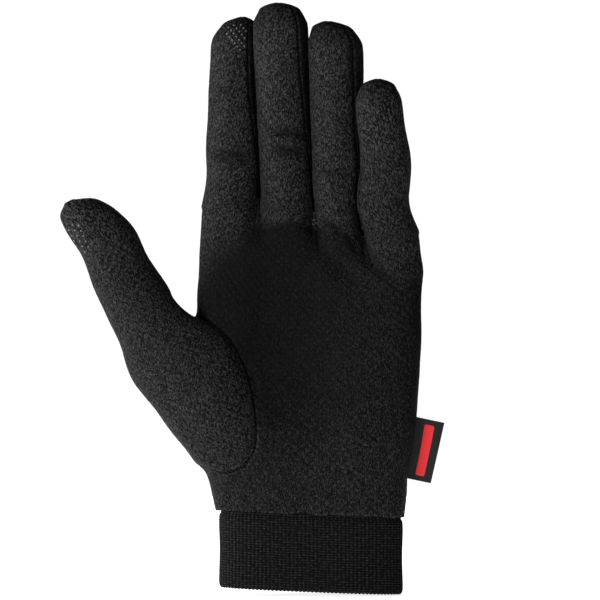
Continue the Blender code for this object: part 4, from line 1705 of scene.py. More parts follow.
class Surface:
    """A new material, whose colour is mixed from two and whose relief is a height in metres."""

    def __init__(self, name: str) -> None:
        """Start its tree.

        Args:
            name: The material's name.
        """
        self.material = bpy.data.materials.new(name)
        self.material.use_nodes = True
        self.tree = self.material.node_tree

    def add(self, kind: str, inputs: dict | None = None, **settings: object) -> Node:
        """Add a node to the tree."""
        return add_node(self.tree, kind, inputs, **settings)

    def finish(
        self, amount: Node, colours: tuple, relief: Node | None, **values: float | tuple
    ) -> Material:
        """End the tree: mix the colours, raise the relief and set the shader.

        Args:
            amount: How much of the second colour shows.
            colours: The two colours as sRGB hex codes.
            relief: The height of the surface, or None for a smooth one.
            values: The shader's own settings, with _ in their names for a space.

        Returns:
            The material.
        """
        deep, high = (linear(code) for code in colours)
        colour = self.add("ShaderNodeMix", {0: amount, 6: deep, 7: high}, data_type="RGBA")
        inputs = {name.replace("_", " "): value for name, value in values.items()}
        inputs["Base Color"] = colour.outputs[2]
        if relief is not None:
            height = {"Strength": 1.0, "Distance": 1.0, "Height": relief}
            inputs["Normal"] = self.add("ShaderNodeBump", height)
        feed(self.tree, self.tree.nodes["Principled BSDF"], inputs)
        return self.material


@dataclass(frozen=True)
class BrushedKnit:
    """Polyester and elastane warp knit, dyed black, with its face brushed to a short nap.

    It has no highlight of its own. The nap breaks its loops up into a fine bright and dark
    grain. Painted shade takes the grain down in the seams and where the palm's knit is drawn
    smooth or shaded, and a painted highlight lifts it on the seams' lips.
    """

    name: str = "brushed_warp_knit"
    deep: str = "#020202"
    high: str = "#68686b"
    nap: str = "#6a6a6e"
    wale: float = 0.72 * MM  # real wales are 0.5 mm apart, too fine to show at 0.4 mm a pixel
    course: float = 0.54 * MM
    loop_slant: float = 1.2
    loop_gain: float = 0.35
    loop_level: float = 0.60
    chance_skew: float = 2.2
    chance_gain: float = 1.65
    chance_level: float = -0.02
    cell: float = 3.5 * MM
    cell_gain: float = 0.60
    cell_level: float = 0.65
    loop_height: float = 0.34 * MM
    cell_height: float = 0.17 * MM
    fuzz_size: float = 0.27 * MM
    fuzz_gain: float = 1.3
    # The painted shade down in the seams, the painted highlight on their lips, and the painted
    # shade on drawn or shaded cloth.
    seam_line: float = 0.26 * MM
    line_end: float = 2.6
    lip_start: float = 3.2
    lip_end: float = 6.0
    lip_highlight: float = 1.7
    drawn_and_shade_dims: float = 0.70
    roughness: float = 0.72
    sheen: float = 0.03
    sheen_roughness: float = 0.45
    shine: float = 0.06

    def material(self) -> Material:
        """The knit, laid out by the panels' own flat layout in metres.

        Returns:
            The material.
        """
        made = Surface(self.name)
        place = made.add("ShaderNodeUVMap", uv_map="cloth")
        split = made.add("ShaderNodeSeparateXYZ", {0: place})
        u, v = split.outputs[0], split.outputs[1]
        grain = self.grain(made, place, u, v)
        cells = self.diamonds(made, u, v)
        shade = made.add(
            MATH, {0: cells, 1: self.cell_gain, 2: self.cell_level}, operation="MULTIPLY_ADD"
        )
        netted = made.add(MATH, {0: grain, 1: shade}, operation="MULTIPLY", use_clamp=True)
        # The grain takes the painted shade and the painted highlight.
        amount = made.add(MATH, {0: netted, 1: self.painted_shade_and_highlight(made)}, operation="MULTIPLY")
        raised = made.add(MATH, {0: grain, 1: self.loop_height}, operation="MULTIPLY")
        relief = made.add(
            MATH, {0: cells, 1: self.cell_height, 2: raised}, operation="MULTIPLY_ADD"
        )
        return made.finish(
            amount, (self.deep, self.high), relief, Roughness=self.roughness,
            Specular_IOR_Level=self.shine, Sheen_Weight=self.sheen,
            Sheen_Roughness=self.sheen_roughness, Sheen_Tint=linear(self.nap),
        )

    def grain(self, made: Surface, place: Node, u: NodeSocket, v: NodeSocket) -> Node:
        """The loops of the knit, each lit by chance and broken up by the nap.

        Args:
            made: The material.
            place: The flat layout.
            u: The place across the wales.
            v: The place up them.

        Returns:
            A node that gives their brightness.
        """
        wales = made.add(MATH, {0: u, 1: self.wale}, operation="DIVIDE")
        within = made.add(MATH, {0: wales}, operation="FRACT")
        centred = made.add(MATH, {0: within, 1: 0.5}, operation="SUBTRACT")
        lean = made.add(MATH, {0: centred}, operation="ABSOLUTE")
        courses = made.add(MATH, {0: v, 1: self.course}, operation="DIVIDE")
        climbed = made.add(
            MATH, {0: lean, 1: self.loop_slant, 2: courses}, operation="MULTIPLY_ADD"
        )
        turn = made.add(MATH, {0: wales, 1: math.tau}, operation="MULTIPLY")
        leg = made.add(MATH, {0: turn}, operation="SINE")
        legs = made.add(MATH, {0: leg}, operation="ABSOLUTE")
        beat = made.add(MATH, {0: climbed, 1: math.tau}, operation="MULTIPLY")
        wave = made.add(MATH, {0: beat}, operation="COSINE")
        loops = made.add(
            MATH, {0: wave, 1: self.loop_gain, 2: self.loop_level}, operation="MULTIPLY_ADD"
        )
        stitch = made.add(MATH, {0: legs, 1: loops}, operation="MULTIPLY")
        column = made.add(MATH, {0: wales, 1: 2.0}, operation="MULTIPLY")
        loop_place = made.add("ShaderNodeCombineXYZ", {0: column, 1: climbed})
        whole = made.add("ShaderNodeVectorMath", {0: loop_place}, operation="FLOOR")
        chance = made.add("ShaderNodeTexWhiteNoise", {"Vector": whole}, noise_dimensions="2D")
        skewed = made.add(MATH, {0: chance, 1: self.chance_skew}, operation="POWER")
        spread = made.add(
            MATH, {0: skewed, 1: self.chance_gain, 2: self.chance_level},
            operation="MULTIPLY_ADD",
        )
        bright = made.add(MATH, {0: stitch, 1: spread}, operation="MULTIPLY")
        fuzz = made.add(
            "ShaderNodeTexNoise", {"Vector": place, "Scale": 1.0 / self.fuzz_size, "Detail": 2.0}
        )
        fluffed = made.add(MATH, {0: fuzz, 1: self.fuzz_gain}, operation="MULTIPLY")
        return made.add(MATH, {0: bright, 1: fluffed}, operation="MULTIPLY", use_clamp=True)

    def painted_shade_and_highlight(self, made: Surface) -> Node:
        """How much of the grain shows: painted shade in seams and on drawn or shaded cloth, a
        painted highlight on seams' lips.

        Args:
            made: The material.

        Returns:
            A node that gives the share.
        """
        seam, stretch = (
            made.add("ShaderNodeAttribute", attribute_name=name, attribute_type="GEOMETRY")
            for name in ("from_seam", "stretch")
        )
        line = self.seam_line
        # A painted highlight on the seam's lip.
        lip_highlight_gain = made.add("ShaderNodeMapRange", {
            0: seam.outputs["Fac"], 1: self.lip_start * line, 2: self.lip_end * line,
            3: self.lip_highlight, 4: 1.0,
        })
        # Painted shade down in the seam.
        seam_shade_gain = made.add("ShaderNodeMapRange", {
            0: seam.outputs["Fac"], 1: line, 2: self.line_end * line, 3: 0.0, 4: lip_highlight_gain,
        })
        # Painted shade where the attribute asks for it, in part knit drawn smooth.
        drawn_and_shade_gain = made.add(
            MATH, {0: stretch.outputs["Fac"], 1: -self.drawn_and_shade_dims, 2: 1.0},
            operation="MULTIPLY_ADD",
        )
        return made.add(MATH, {0: seam_shade_gain, 1: drawn_and_shade_gain}, operation="MULTIPLY")

    def diamonds(self, made: Surface, u: NodeSocket, v: NodeSocket) -> Node:
        """The knit's net of small diamonds, 1 in their middles and 0 on the lines between.

        Args:
            made: The material.
            u: The place across the wales.
            v: The place up them.

        Returns:
            A node that gives the value.
        """
        parts = []
        for operation in ("ADD", "SUBTRACT"):
            along = made.add(MATH, {0: u, 1: v}, operation=operation)
            turns = made.add(MATH, {0: along, 1: math.pi / self.cell}, operation="MULTIPLY")
            wave = made.add(MATH, {0: turns}, operation="SINE")
            parts.append(made.add(MATH, {0: wave}, operation="ABSOLUTE"))
        return made.add(MATH, {0: parts[0], 1: parts[1]}, operation="MINIMUM")


@dataclass(frozen=True)
class RibKnit:
    """Polyester and elastane knitted as a fine 1x1 rib, dyed black and not brushed.

    It is darker and smoother than the hand. Its courses show as short pale dashes on the ribs'
    crowns, and the furrows between are painted dark as shade.
    """

    deep: str = "#030303"
    high: str = "#303032"
    nap: str = "#6a6a6e"
    course: float = 1.0 * MM  # real courses are 0.6 mm apart, drawn coarser so that they show
    dash_size: float = 1.3 * MM
    dash_start: float = 0.40
    dash_end: float = 0.62
    dash_least: float = 0.05
    # How much painted shade the furrows between the ribs take.
    furrow_shade: float = 0.75
    loop_height: float = 0.16 * MM
    roughness: float = 0.75
    sheen: float = 0.05
    shine: float = 0.08

    def material(self) -> Material:
        """The rib's courses, on the cuff's layout of metres along its section.

        Returns:
            The material.
        """
        made = Surface("rib_knit")
        place = made.add("ShaderNodeUVMap", uv_map="cloth")
        split = made.add("ShaderNodeSeparateXYZ", {0: place})
        beat = made.add(
            MATH, {0: split.outputs[1], 1: math.tau / self.course}, operation="MULTIPLY"
        )
        wave = made.add(MATH, {0: beat}, operation="SINE")
        courses = made.add(MATH, {0: wave, 1: 0.5, 2: 0.5}, operation="MULTIPLY_ADD")
        crisp = made.add(MATH, {0: courses, 1: 2.0}, operation="POWER")
        fuzz = made.add(
            "ShaderNodeTexNoise", {"Vector": place, "Scale": 1.0 / self.dash_size, "Detail": 2.0}
        )
        broken = made.add("ShaderNodeMapRange", {
            0: fuzz, 1: self.dash_start, 2: self.dash_end, 3: self.dash_least, 4: 1.0,
        })
        grain = made.add(MATH, {0: crisp, 1: broken}, operation="MULTIPLY")
        # Painted shade in the furrows between the ribs.
        rib = made.add("ShaderNodeAttribute", attribute_name="rib", attribute_type="GEOMETRY")
        column = made.add(
            MATH, {0: rib.outputs["Fac"], 1: self.furrow_shade, 2: 1.0 - self.furrow_shade},
            operation="MULTIPLY_ADD",
        )
        amount = made.add(MATH, {0: grain, 1: column}, operation="MULTIPLY", use_clamp=True)
        raised = made.add(MATH, {0: courses, 1: self.loop_height}, operation="MULTIPLY")
        return made.finish(
            amount, (self.deep, self.high), raised, Roughness=self.roughness,
            Specular_IOR_Level=self.shine, Sheen_Weight=self.sheen, Sheen_Tint=linear(self.nap),
        )


@dataclass(frozen=True)
class Taffeta:
    """Polyester tape in a plain weave, dyed and pressed flat.

    It is crisp and even, with a faint lustre, and small squares where threads cross.
    """

    name: str
    colour: str
    gap: str
    thread: float = 0.42 * MM  # real threads are 0.2 mm apart, drawn coarser so that they show
    height: float = 0.05 * MM
    roughness: float = 0.55
    shine: float = 0.3

    def material(self) -> Material:
        """The weave, laid out in metres along and across the tape.

        Returns:
            The material.
        """
        made = Surface(self.name)
        place = made.add("ShaderNodeUVMap", uv_map="cloth")
        turned = made.add(
            "ShaderNodeVectorMath", {0: place, 1: (math.pi / self.thread,) * 3},
            operation="MULTIPLY",
        )
        waves = made.add("ShaderNodeVectorMath", {0: turned}, operation="SINE")
        split = made.add("ShaderNodeSeparateXYZ", {0: waves})
        crossed = made.add(
            MATH, {0: split.outputs[0], 1: split.outputs[1]}, operation="MULTIPLY"
        )
        weave = made.add(MATH, {0: crossed, 1: 0.5, 2: 0.5}, operation="MULTIPLY_ADD")
        raised = made.add(MATH, {0: weave, 1: self.height}, operation="MULTIPLY")
        return made.finish(
            weave, (self.gap, self.colour), raised, Roughness=self.roughness,
            Specular_IOR_Level=self.shine,
        )


@dataclass(frozen=True)
class Plain:
    """Spun polyester thread, or silicone printed as a paste and cured.

    Thread is dull. Silicone has a soft gleam. Two close colours keep either from looking flat.
    """

    name: str
    colour: str
    high: str
    roughness: float
    grain: float

    def material(self) -> Material:
        """Two close colours, mixed by a fine noise.

        Returns:
            The material.
        """
        made = Surface(self.name)
        place = made.add("ShaderNodeTexCoord").outputs["Object"]
        speckle = made.add(
            "ShaderNodeTexNoise", {"Vector": place, "Scale": 1.0 / self.grain, "Detail": 2.0}
        )
        return made.finish(speckle, (self.colour, self.high), None, Roughness=self.roughness)


# The cuff


class CuffRow(NamedTuple):
    """A point of the cuff's section: its height, and how far in it lies, in walls."""

    height: float
    inward: float


@dataclass
class Cuff:
    """The double rib band at the wrist, its top tucked inside the hem."""

    height: float = 30.6 * MM
    tuck: float = 4.0 * MM
    wall: float = 2.0 * MM
    clearance: float = 0.45 * MM
    rib_pitch: float = 1.6 * MM
    rib_depth: float = 0.30 * MM
    sway: float = 0.30 * MM
    sway_size: float = 9.0 * MM
    columns_per_rib: int = 6
    outline_steps: int = 600
    slope_steps: int = 3
    rows: int = 72
    section: tuple = (
        CuffRow(1.000, 0.10),
        CuffRow(0.970, 0.00),
        CuffRow(0.895, 0.05),
        CuffRow(0.868, 0.12),
        CuffRow(0.845, -0.22),
        CuffRow(0.800, -0.32),
        CuffRow(0.700, -0.34),
        CuffRow(0.420, -0.20),
        CuffRow(0.100, -0.34),
        CuffRow(0.028, -0.26),
        CuffRow(0.000, 0.02),
        CuffRow(0.000, 0.42),
        CuffRow(0.028, 0.70),
        CuffRow(0.100, 0.78),
        CuffRow(0.420, 0.88),
        CuffRow(0.700, 0.76),
        CuffRow(0.890, 0.95),
        CuffRow(0.970, 1.00),
        CuffRow(1.000, 0.90),
    )

    def outline(self, hand: Hand) -> list[Vector]:
        """The hem's outline seen from above, at equal steps, a few for each rib.

        Args:
            hand: The hand whose hem it is.

        Returns:
            The points, the first not repeated.
        """
        fine = self.outline_steps
        shares = [(1.0 - math.cos(math.pi * i / fine)) / 2.0 for i in range(fine + 1)]
        front = [hand.point(share, 0.0, True) for share in shares]
        rear = [hand.point(share, 0.0, False) for share in shares[-2::-1]]
        points = [Vector((p.x, p.y)) for p in front + rear]
        around = sum((b - a).length for a, b in zip(points, points[1:]))
        self.ribs = round(around / self.rib_pitch)
        self.around = around
        return even_steps(points, self.ribs * self.columns_per_rib)[:-1]

    def base_mesh(self, hand: Hand, wall: float) -> Mesh:
        """The band without its ribs, with each point's place round the wrist.

        Args:
            hand: The hand whose hem the cuff follows.
            wall: The wall of the hand's cloth.

        Returns:
            The band's mesh, with the attributes that the ribs are made from.
        """
        outline = self.outline(hand)
        reach = self.height + self.tuck
        corners = [Vector((row.height * reach, row.inward * self.wall)) for row in self.section]
        profile = curve_through([*corners, corners[0]], self.rows)[:-1]
        count = len(outline)
        outwards = []
        for i in range(count):
            run = outline[(i + self.slope_steps) % count] - outline[i - self.slope_steps]
            outwards.append(Vector((run.y, -run.x)).normalized())
        points, around, along = [], [], []
        length = 0.0
        for r, (z, inward) in enumerate(profile):
            length += (profile[r] - profile[r - 1]).length if r else 0.0
            for i, (place, outward) in enumerate(zip(outline, outwards)):
                x, y = place - outward * (wall + self.clearance + inward)
                slant = -hand.slant * x / (hand.hem_width / 2.0)
                points.append((x, y, z + slant))
                around.append(i / count)
                along.append(length)
        faces, flat = [], []
        for r in range(len(profile)):
            after = (r + 1) % len(profile)
            top = length if after == 0 else along[after * count]
            for i in range(count):
                j = (i + 1) % count
                faces.append((r * count + i, after * count + i, after * count + j, r * count + j))
                left, right = self.around * i / count, self.around * (i + 1) / count
                low = along[r * count]
                for u, v in ((left, low), (left, top), (right, top), (right, low)):
                    bent = Vector((u, v, 0.0)) / self.sway_size
                    flat += [u, v + self.sway * noise.noise(bent)]
        mesh = bpy.data.meshes.new("cuff_base")
        mesh.from_pydata(points, [], faces)
        mesh.uv_layers.new(name="cloth").uv.foreach_set("vector", flat)
        share = mesh.attributes.new("around", "FLOAT", "POINT")
        share.data.foreach_set("value", around)
        mesh.shade_smooth()
        return mesh

    def recipe(self) -> Recipe:
        """The tree that raises the ribs.

        Returns:
            The tree.
        """
        made = Recipe("cuff_ribs", {
            "Ribs": "NodeSocketFloat",
            "Depth": "NodeSocketFloat",
            "Material": "NodeSocketMaterial",
        })
        share = made.add("GeometryNodeInputNamedAttribute", {0: "around"}, data_type="FLOAT")
        count = made.add(MATH, {0: share, 1: made.start["Ribs"]}, operation="MULTIPLY")
        turn = made.add(MATH, {0: count, 1: math.tau}, operation="MULTIPLY")
        wave = made.add(MATH, {0: turn}, operation="COSINE")
        rib = made.add(MATH, {0: wave, 1: 0.5, 2: 0.5}, operation="MULTIPLY_ADD")
        marked = made.add(
            "GeometryNodeStoreNamedAttribute",
            {0: made.start["Geometry"], "Name": "rib", "Value": rib},
            data_type="FLOAT", domain="POINT",
        )
        centred = made.add(MATH, {0: rib, 1: 0.5}, operation="SUBTRACT")
        height = made.add(MATH, {0: centred, 1: made.start["Depth"]}, operation="MULTIPLY")
        normal = made.add("GeometryNodeInputNormal")
        offset = made.add(
            "ShaderNodeVectorMath", {0: normal, "Scale": height}, operation="SCALE"
        )
        made.finish(made.add("GeometryNodeSetPosition", {0: marked, "Offset": offset}))
        return made

    def make(self, hand: Hand, wall: float, finish: RibKnit) -> Object:
        """Make the cuff.

        Args:
            hand: The hand whose hem the cuff follows.
            wall: The wall of the hand's cloth.
            finish: The rib.

        Returns:
            The cuff's object.
        """
        base = self.base_mesh(hand, wall)
        mesh = self.recipe().run(base, {
            "Ribs": float(self.ribs),
            "Depth": self.rib_depth,
            "Material": finish.material(),
        })
        mesh.name = "cuff_rib"
        return add_piece("cuff_rib", mesh, "rib", "cuff")


# The sewing thread


@dataclass
class Stitching:
    """Sewing thread that shows as short stitches down in the seams."""

    pitch: float = 1.7 * MM
    length: float = 1.15 * MM
    thickness: float = 0.26 * MM
    lift: float = 0.02 * MM
    side_depth: float = 0.45 * MM
    bare_ends: float = 3.0 * MM
    steepest: float = 0.6

    def paths(self, cloth: Cloth) -> Mesh:
        """The seams as lines, with the way out of the cloth at each point.

        Args:
            cloth: The sewn panels.

        Returns:
            The lines.
        """
        points, edges, outwards = [], [], []
        for seam in cloth.seams:
            first = len(points)
            run = np.array(seam)
            steps = np.linalg.norm(np.diff(cloth.skin.places[run], axis=0), axis=1)
            reach = np.concatenate(([0.0], np.cumsum(steps)))
            sewn = (reach > self.bare_ends) & (reach < reach[-1] - self.bare_ends)
            kept = np.flatnonzero(sewn & (cloth.skin.normals[run, 2] < self.steepest))
            for number in run[kept]:
                outward = cloth.skin.normals[number]
                sunk = self.side_depth * (1.0 - outward[1] ** 2) ** 2
                points.append(cloth.lifted[number] - outward * sunk)
                outwards.append(outward)
            edges += [(first + i, first + i + 1) for i in np.flatnonzero(np.diff(kept) == 1)]
        mesh = bpy.data.meshes.new("thread_paths")
        mesh.from_pydata(points, edges, [])
        outward = mesh.attributes.new("outward", "FLOAT_VECTOR", "POINT")
        outward.data.foreach_set("vector", np.array(outwards, dtype=np.float32).ravel())
        return mesh

    def recipe(self) -> Recipe:
        """The tree that sets stitches along the lines.

        Returns:
            The tree.
        """
        made = Recipe("seam_stitches", {
            "Pitch": "NodeSocketFloat",
            "Length": "NodeSocketFloat",
            "Thickness": "NodeSocketFloat",
            "Lift": "NodeSocketFloat",
            "Material": "NodeSocketMaterial",
        })
        curve = made.add("GeometryNodeMeshToCurve", {0: made.start["Geometry"]})
        even = made.add(
            "GeometryNodeResampleCurve", {0: curve, "Length": made.start["Pitch"]}, mode="LENGTH"
        )
        outward = made.add(
            "GeometryNodeInputNamedAttribute", {0: "outward"}, data_type="FLOAT_VECTOR"
        )
        offset = made.add(
            "ShaderNodeVectorMath", {0: outward, "Scale": made.start["Lift"]}, operation="SCALE"
        )
        lifted = made.add("GeometryNodeSetPosition", {0: even, "Offset": offset})
        tangent = made.add("GeometryNodeInputTangent")
        turn = made.add(
            "FunctionNodeAxesToRotation", {0: outward, 1: tangent},
            primary_axis="Z", secondary_axis="X",
        )
        bead = made.add("GeometryNodeMeshUVSphere", {"Segments": 6, "Rings": 4, "Radius": 0.5})
        length, thickness = made.start["Length"], made.start["Thickness"]
        size = made.add("ShaderNodeCombineXYZ", {0: length, 1: thickness, 2: thickness})
        made.finish(made.add(
            "GeometryNodeInstanceOnPoints",
            {0: lifted, "Instance": bead, "Rotation": turn, "Scale": size},
        ))
        return made

    def make(self, cloth: Cloth, finish: Plain) -> Object:
        """Make the stitches.

        Args:
            cloth: The sewn panels.
            finish: The thread.

        Returns:
            The stitches' object.
        """
        mesh = self.recipe().run(self.paths(cloth), {
            "Pitch": self.pitch,
            "Length": self.length,
            "Thickness": self.thickness,
            "Lift": self.lift,
            "Material": finish.material(),
        })
        mesh.name = "seam_stitches"
        return add_piece("seam_stitches", mesh, "thread")


# The printed dots


@dataclass
class DotPatch:
    """A staggered field of printed silicone dots on a fingertip."""

    name: str
    centre: Vector
    degrees: float
    counts: tuple
    along: float = 1.65 * MM
    apart: float = 2.2 * MM
    direction: tuple = (0.0, 1.0, 0.0)
    start_distance: float = 40.0 * MM
    dot: float = 0.72 * MM
    height: float = 0.40 * MM

    def field(self) -> Mesh:
        """Points of the field, in a plane in front of the fingertip.

        Returns:
            A mesh of loose points.
        """
        way = Vector(self.direction).normalized()
        right = way.cross(Vector((0.0, 0.0, 1.0))).normalized()
        up = right.cross(way)
        turn = math.radians(self.degrees)
        run = right * math.cos(turn) + up * math.sin(turn)
        step = right * -math.sin(turn) + up * math.cos(turn)
        points = []
        for line, count in enumerate(self.counts):
            row = (len(self.counts) - 1) / 2.0 - line
            for i in range(count):
                shift = i - (count - 1) / 2.0
                place = self.centre + run * (shift * self.along) + step * (row * self.apart)
                points.append(place - way * self.start_distance)
        mesh = bpy.data.meshes.new(self.name)
        mesh.from_pydata(points, [], [])
        return mesh

    def make(self, recipe: Recipe, target: Object, material: Material) -> Object:
        """Make the dots on a panel.

        Args:
            recipe: The tree that prints dots.
            target: The panel that they lie on.
            material: Their silicone.

        Returns:
            The dots' object.
        """
        mesh = recipe.run(self.field(), {
            "Cloth": target,
            "Direction": self.direction,
            "Dot": self.dot,
            "Height": self.height,
            "Material": material,
        })
        mesh.name = self.name
        return add_piece(self.name, mesh, "grip")


def dot_recipe() -> Recipe:
    """The tree that prints dots: each point is cast on the cloth and gets a low dome.

    Returns:
        The tree.
    """
    made = Recipe("printed_dots", {
        "Cloth": "NodeSocketObject",
        "Direction": "NodeSocketVector",
        "Dot": "NodeSocketFloat",
        "Height": "NodeSocketFloat",
        "Material": "NodeSocketMaterial",
    })
    cloth = made.add("GeometryNodeObjectInfo", {0: made.start["Cloth"]})
    cast = made.add(
        "GeometryNodeRaycast",
        {"Target Geometry": cloth.outputs["Geometry"], "Ray Direction": made.start["Direction"]},
    )
    missed = made.add("FunctionNodeBooleanMath", {0: cast.outputs["Is Hit"]}, operation="NOT")
    facing = made.add(
        "GeometryNodeStoreNamedAttribute",
        {0: made.start["Geometry"], "Name": "facing", "Value": cast.outputs["Hit Normal"]},
        data_type="FLOAT_VECTOR", domain="POINT",
    )
    kept = made.add("GeometryNodeDeleteGeometry", {0: facing, 1: missed})
    landed = made.add(
        "GeometryNodeSetPosition", {0: kept, "Position": cast.outputs["Hit Position"]}
    )
    normal = made.add("GeometryNodeInputNamedAttribute", {0: "facing"}, data_type="FLOAT_VECTOR")
    turn = made.add("FunctionNodeAlignRotationToVector", {"Vector": normal}, axis="Z")
    dome = made.add("GeometryNodeMeshUVSphere", {"Segments": 10, "Rings": 6, "Radius": 0.5})
    dot = made.start["Dot"]
    size = made.add("ShaderNodeCombineXYZ", {0: dot, 1: dot, 2: made.start["Height"]})
    made.finish(made.add(
        "GeometryNodeInstanceOnPoints",
        {0: landed, "Instance": dome, "Rotation": turn, "Scale": size},
    ))
    return made


# The tab in the side seam


@dataclass
class SideTab:
    """A folded tape sewn into the side seam, black with a plain red bar."""

    reach: float = 9.4 * MM
    height: float = 25.0 * MM
    thickness: float = 1.0 * MM
    tape: float = 0.36 * MM
    place: float = 30.1 * MM
    lean: float = 4.2
    gap: float = 0.3 * MM
    sewn_in: float = 0.9 * MM
    bar_width: float = 3.15 * MM
    bar_height: float = 20.8 * MM
    bar_place: float = 5.0 * MM
    bar_corner: float = 0.7 * MM
    bar_rise: float = 0.06 * MM
    bar_rows: int = 24
    corner_rows: int = 6
    curl: float = 0.5 * MM
    middle_curl: float = 0.6
    sharp_angle: float = math.radians(50.0)
    rows: int = 26
    steps: int = 8

    def set_on(self, hand: Hand) -> None:
        """Take the tab's directions and place from the hand's side seam.

        Args:
            hand: The hand whose seam it is.
        """
        low, high = self.place - self.height / 2.0, self.place + self.height / 2.0
        heights = [mix(low, high, step / self.steps) for step in range(self.steps + 1)]
        edge = [hand.point(1.0, height / hand.length, True) for height in heights]
        middle = edge[0].lerp(edge[-1], 0.5)
        self.up = (edge[-1] - edge[0]).normalized()
        self.up.rotate(Matrix.Rotation(math.radians(self.lean), 3, "Y"))
        self.out = Vector((self.up.z, 0.0, -self.up.x)).normalized()
        self.thick = self.up.cross(self.out).normalized()
        self.edge = [(p - middle).dot(self.out) for p in edge]
        self.root = middle + self.out * (max(self.edge) + self.gap)

    def at(self, out: float, thick: float, up: float) -> Vector:
        """A place on the tab. It curls a little backwards towards its free corners.

        Args:
            out: How far out of the seam.
            thick: How far through the tape.
            up: How far up from its middle.

        Returns:
            The place.
        """
        aside = self.middle_curl + (2.0 * up / self.height) ** 2
        curl = self.curl * (out / self.reach) ** 2 * aside
        along = min(max(up / self.height + 0.5, 0.0), 1.0) * self.steps
        step = min(int(along), self.steps - 1)
        edge = mix(self.edge[step], self.edge[step + 1], along - step)
        inside = max(self.edge) + self.gap - edge + self.sewn_in
        out -= inside * (1.0 - out / self.reach)
        return self.root + self.out * out + self.thick * (thick + curl) + self.up * up

    def section(self) -> list[tuple[float, float]]:
        """The folded tape's outline seen from above, as outward and thickness places.

        Returns:
            The outside from root to root, and the inside back again.
        """
        half = self.thickness / 2.0
        inner = half - self.tape
        bend = self.reach - half
        steps = self.steps
        outside = [(share * bend / steps, -half) for share in range(steps)]
        for i in range(steps + 1):
            turn = math.pi * (i / steps - 0.5)
            outside.append((bend + half * math.cos(turn), half * math.sin(turn)))
        outside += [(share * bend / steps, half) for share in range(steps - 1, -1, -1)]
        inside = [(share * bend / steps, inner) for share in range(steps)]
        for i in range(steps + 1):
            turn = math.pi * (0.5 - i / steps)
            inside.append((bend + inner * math.cos(turn), inner * math.sin(turn)))
        inside += [(share * bend / steps, -inner) for share in range(steps - 1, -1, -1)]
        return outside + inside

    def make(self, hand: Hand) -> list[Object]:
        """Make the tape and its bar.

        Args:
            hand: The hand whose seam it is sewn in.

        Returns:
            Their objects.
        """
        self.set_on(hand)
        section = self.section()
        count = len(section)
        points, faces, flat = [], [], []
        for row in range(self.rows + 1):
            up = self.height * (row / self.rows - 0.5)
            points += [self.at(out, thick, up) for out, thick in section]
        along = [0.0]
        for (a, b), (c, d) in zip(section, section[1:] + section[:1]):
            along.append(along[-1] + math.hypot(c - a, d - b))
        for row in range(self.rows):
            low, high = (self.height * (r / self.rows) for r in (row, row + 1))
            for i in range(count):
                j = (i + 1) % count
                faces.append((row * count + i, row * count + j,
                              (row + 1) * count + j, (row + 1) * count + i))
                flat += [along[i], low, along[i + 1], low, along[i + 1], high, along[i], high]
        half = count // 2
        for row in (0, self.rows):
            for i in range(half - 1):
                corners = [i, i + 1, count - 2 - i, count - 1 - i]
                corners = corners[::-1] if row == 0 else corners
                faces.append(tuple(row * count + c for c in corners))
                for c in corners:
                    flat += section[c]
        tape = Taffeta("black_woven_tape", "#100e0b", "#040303")
        mesh = self.woven("side_tab", points, faces, flat, tape)
        return [add_piece("side_tab", mesh, "label", "side_label"), self.make_bar()]

    def woven(self, name: str, points: list, faces: list, flat: list, finish: Taffeta) -> Mesh:
        """A closed mesh of tape with crisp edges.

        Args:
            name: Its name.
            points: Its points.
            faces: Its faces, as the numbers of their points.
            flat: Its flat layout, corner by corner.
            finish: Its weave.

        Returns:
            The mesh.
        """
        mesh = bpy.data.meshes.new(name)
        mesh.from_pydata(points, [], faces)
        mesh.uv_layers.new(name="cloth").uv.foreach_set("vector", flat)
        outward_faces(mesh)
        mesh.shade_smooth()
        mesh.set_sharp_from_angle(angle=self.sharp_angle)
        mesh.materials.append(finish.material())
        return mesh

    def make_bar(self) -> Object:
        """The plain bar woven into the front of the tape, a little proud of it.

        Returns:
            The bar's object.
        """
        half_width, half_height = self.bar_width / 2.0, self.bar_height / 2.0
        corner, plain, across = self.corner_rows, self.bar_rows, self.steps
        turns = [math.pi / 2.0 * i / corner for i in range(corner)]
        levels = [-half_height + self.bar_corner * (1.0 - math.cos(turn)) for turn in turns]
        straight = half_height - self.bar_corner
        levels += [mix(-straight, straight, i / plain) for i in range(plain + 1)]
        levels += [-level for level in levels[corner - 1 :: -1]]
        points, faces, flat = [], [], []
        for side in (self.bar_rise, 0.0):
            for level in levels:
                past = max(abs(level) - straight, 0.0)
                round_off = self.bar_corner - math.sqrt(max(self.bar_corner**2 - past**2, 0.0))
                for step in range(across + 1):
                    out = self.bar_place + (half_width - round_off) * (2.0 * step / across - 1.0)
                    points.append(self.at(out, -self.thickness / 2.0 - side, level))
        count, rows = across + 1, len(levels)
        layer = count * rows
        for row in range(rows - 1):
            for i in range(across):
                a = row * count + i
                quad = (a, a + 1, a + 1 + count, a + count)
                faces += [quad, tuple(layer + c for c in quad[::-1])]
        ring = [*range(count), *(r * count + across for r in range(1, rows)),
                *range(layer - 2, layer - count - 1, -1),
                *(r * count for r in range(rows - 2, 0, -1))]
        for a, b in zip(ring, ring[1:] + ring[:1]):
            faces.append((b, a, layer + a, layer + b))
        for face in faces:
            for corner in face:
                row, i = divmod(corner % layer, count)
                flat += [self.bar_width * i / across, levels[row]]
        finish = Taffeta("red_woven_bar", "#f03038", "#b81820")
        mesh = self.woven("tab_bar", points, faces, flat, finish)
        return add_piece("tab_bar", mesh, "label")


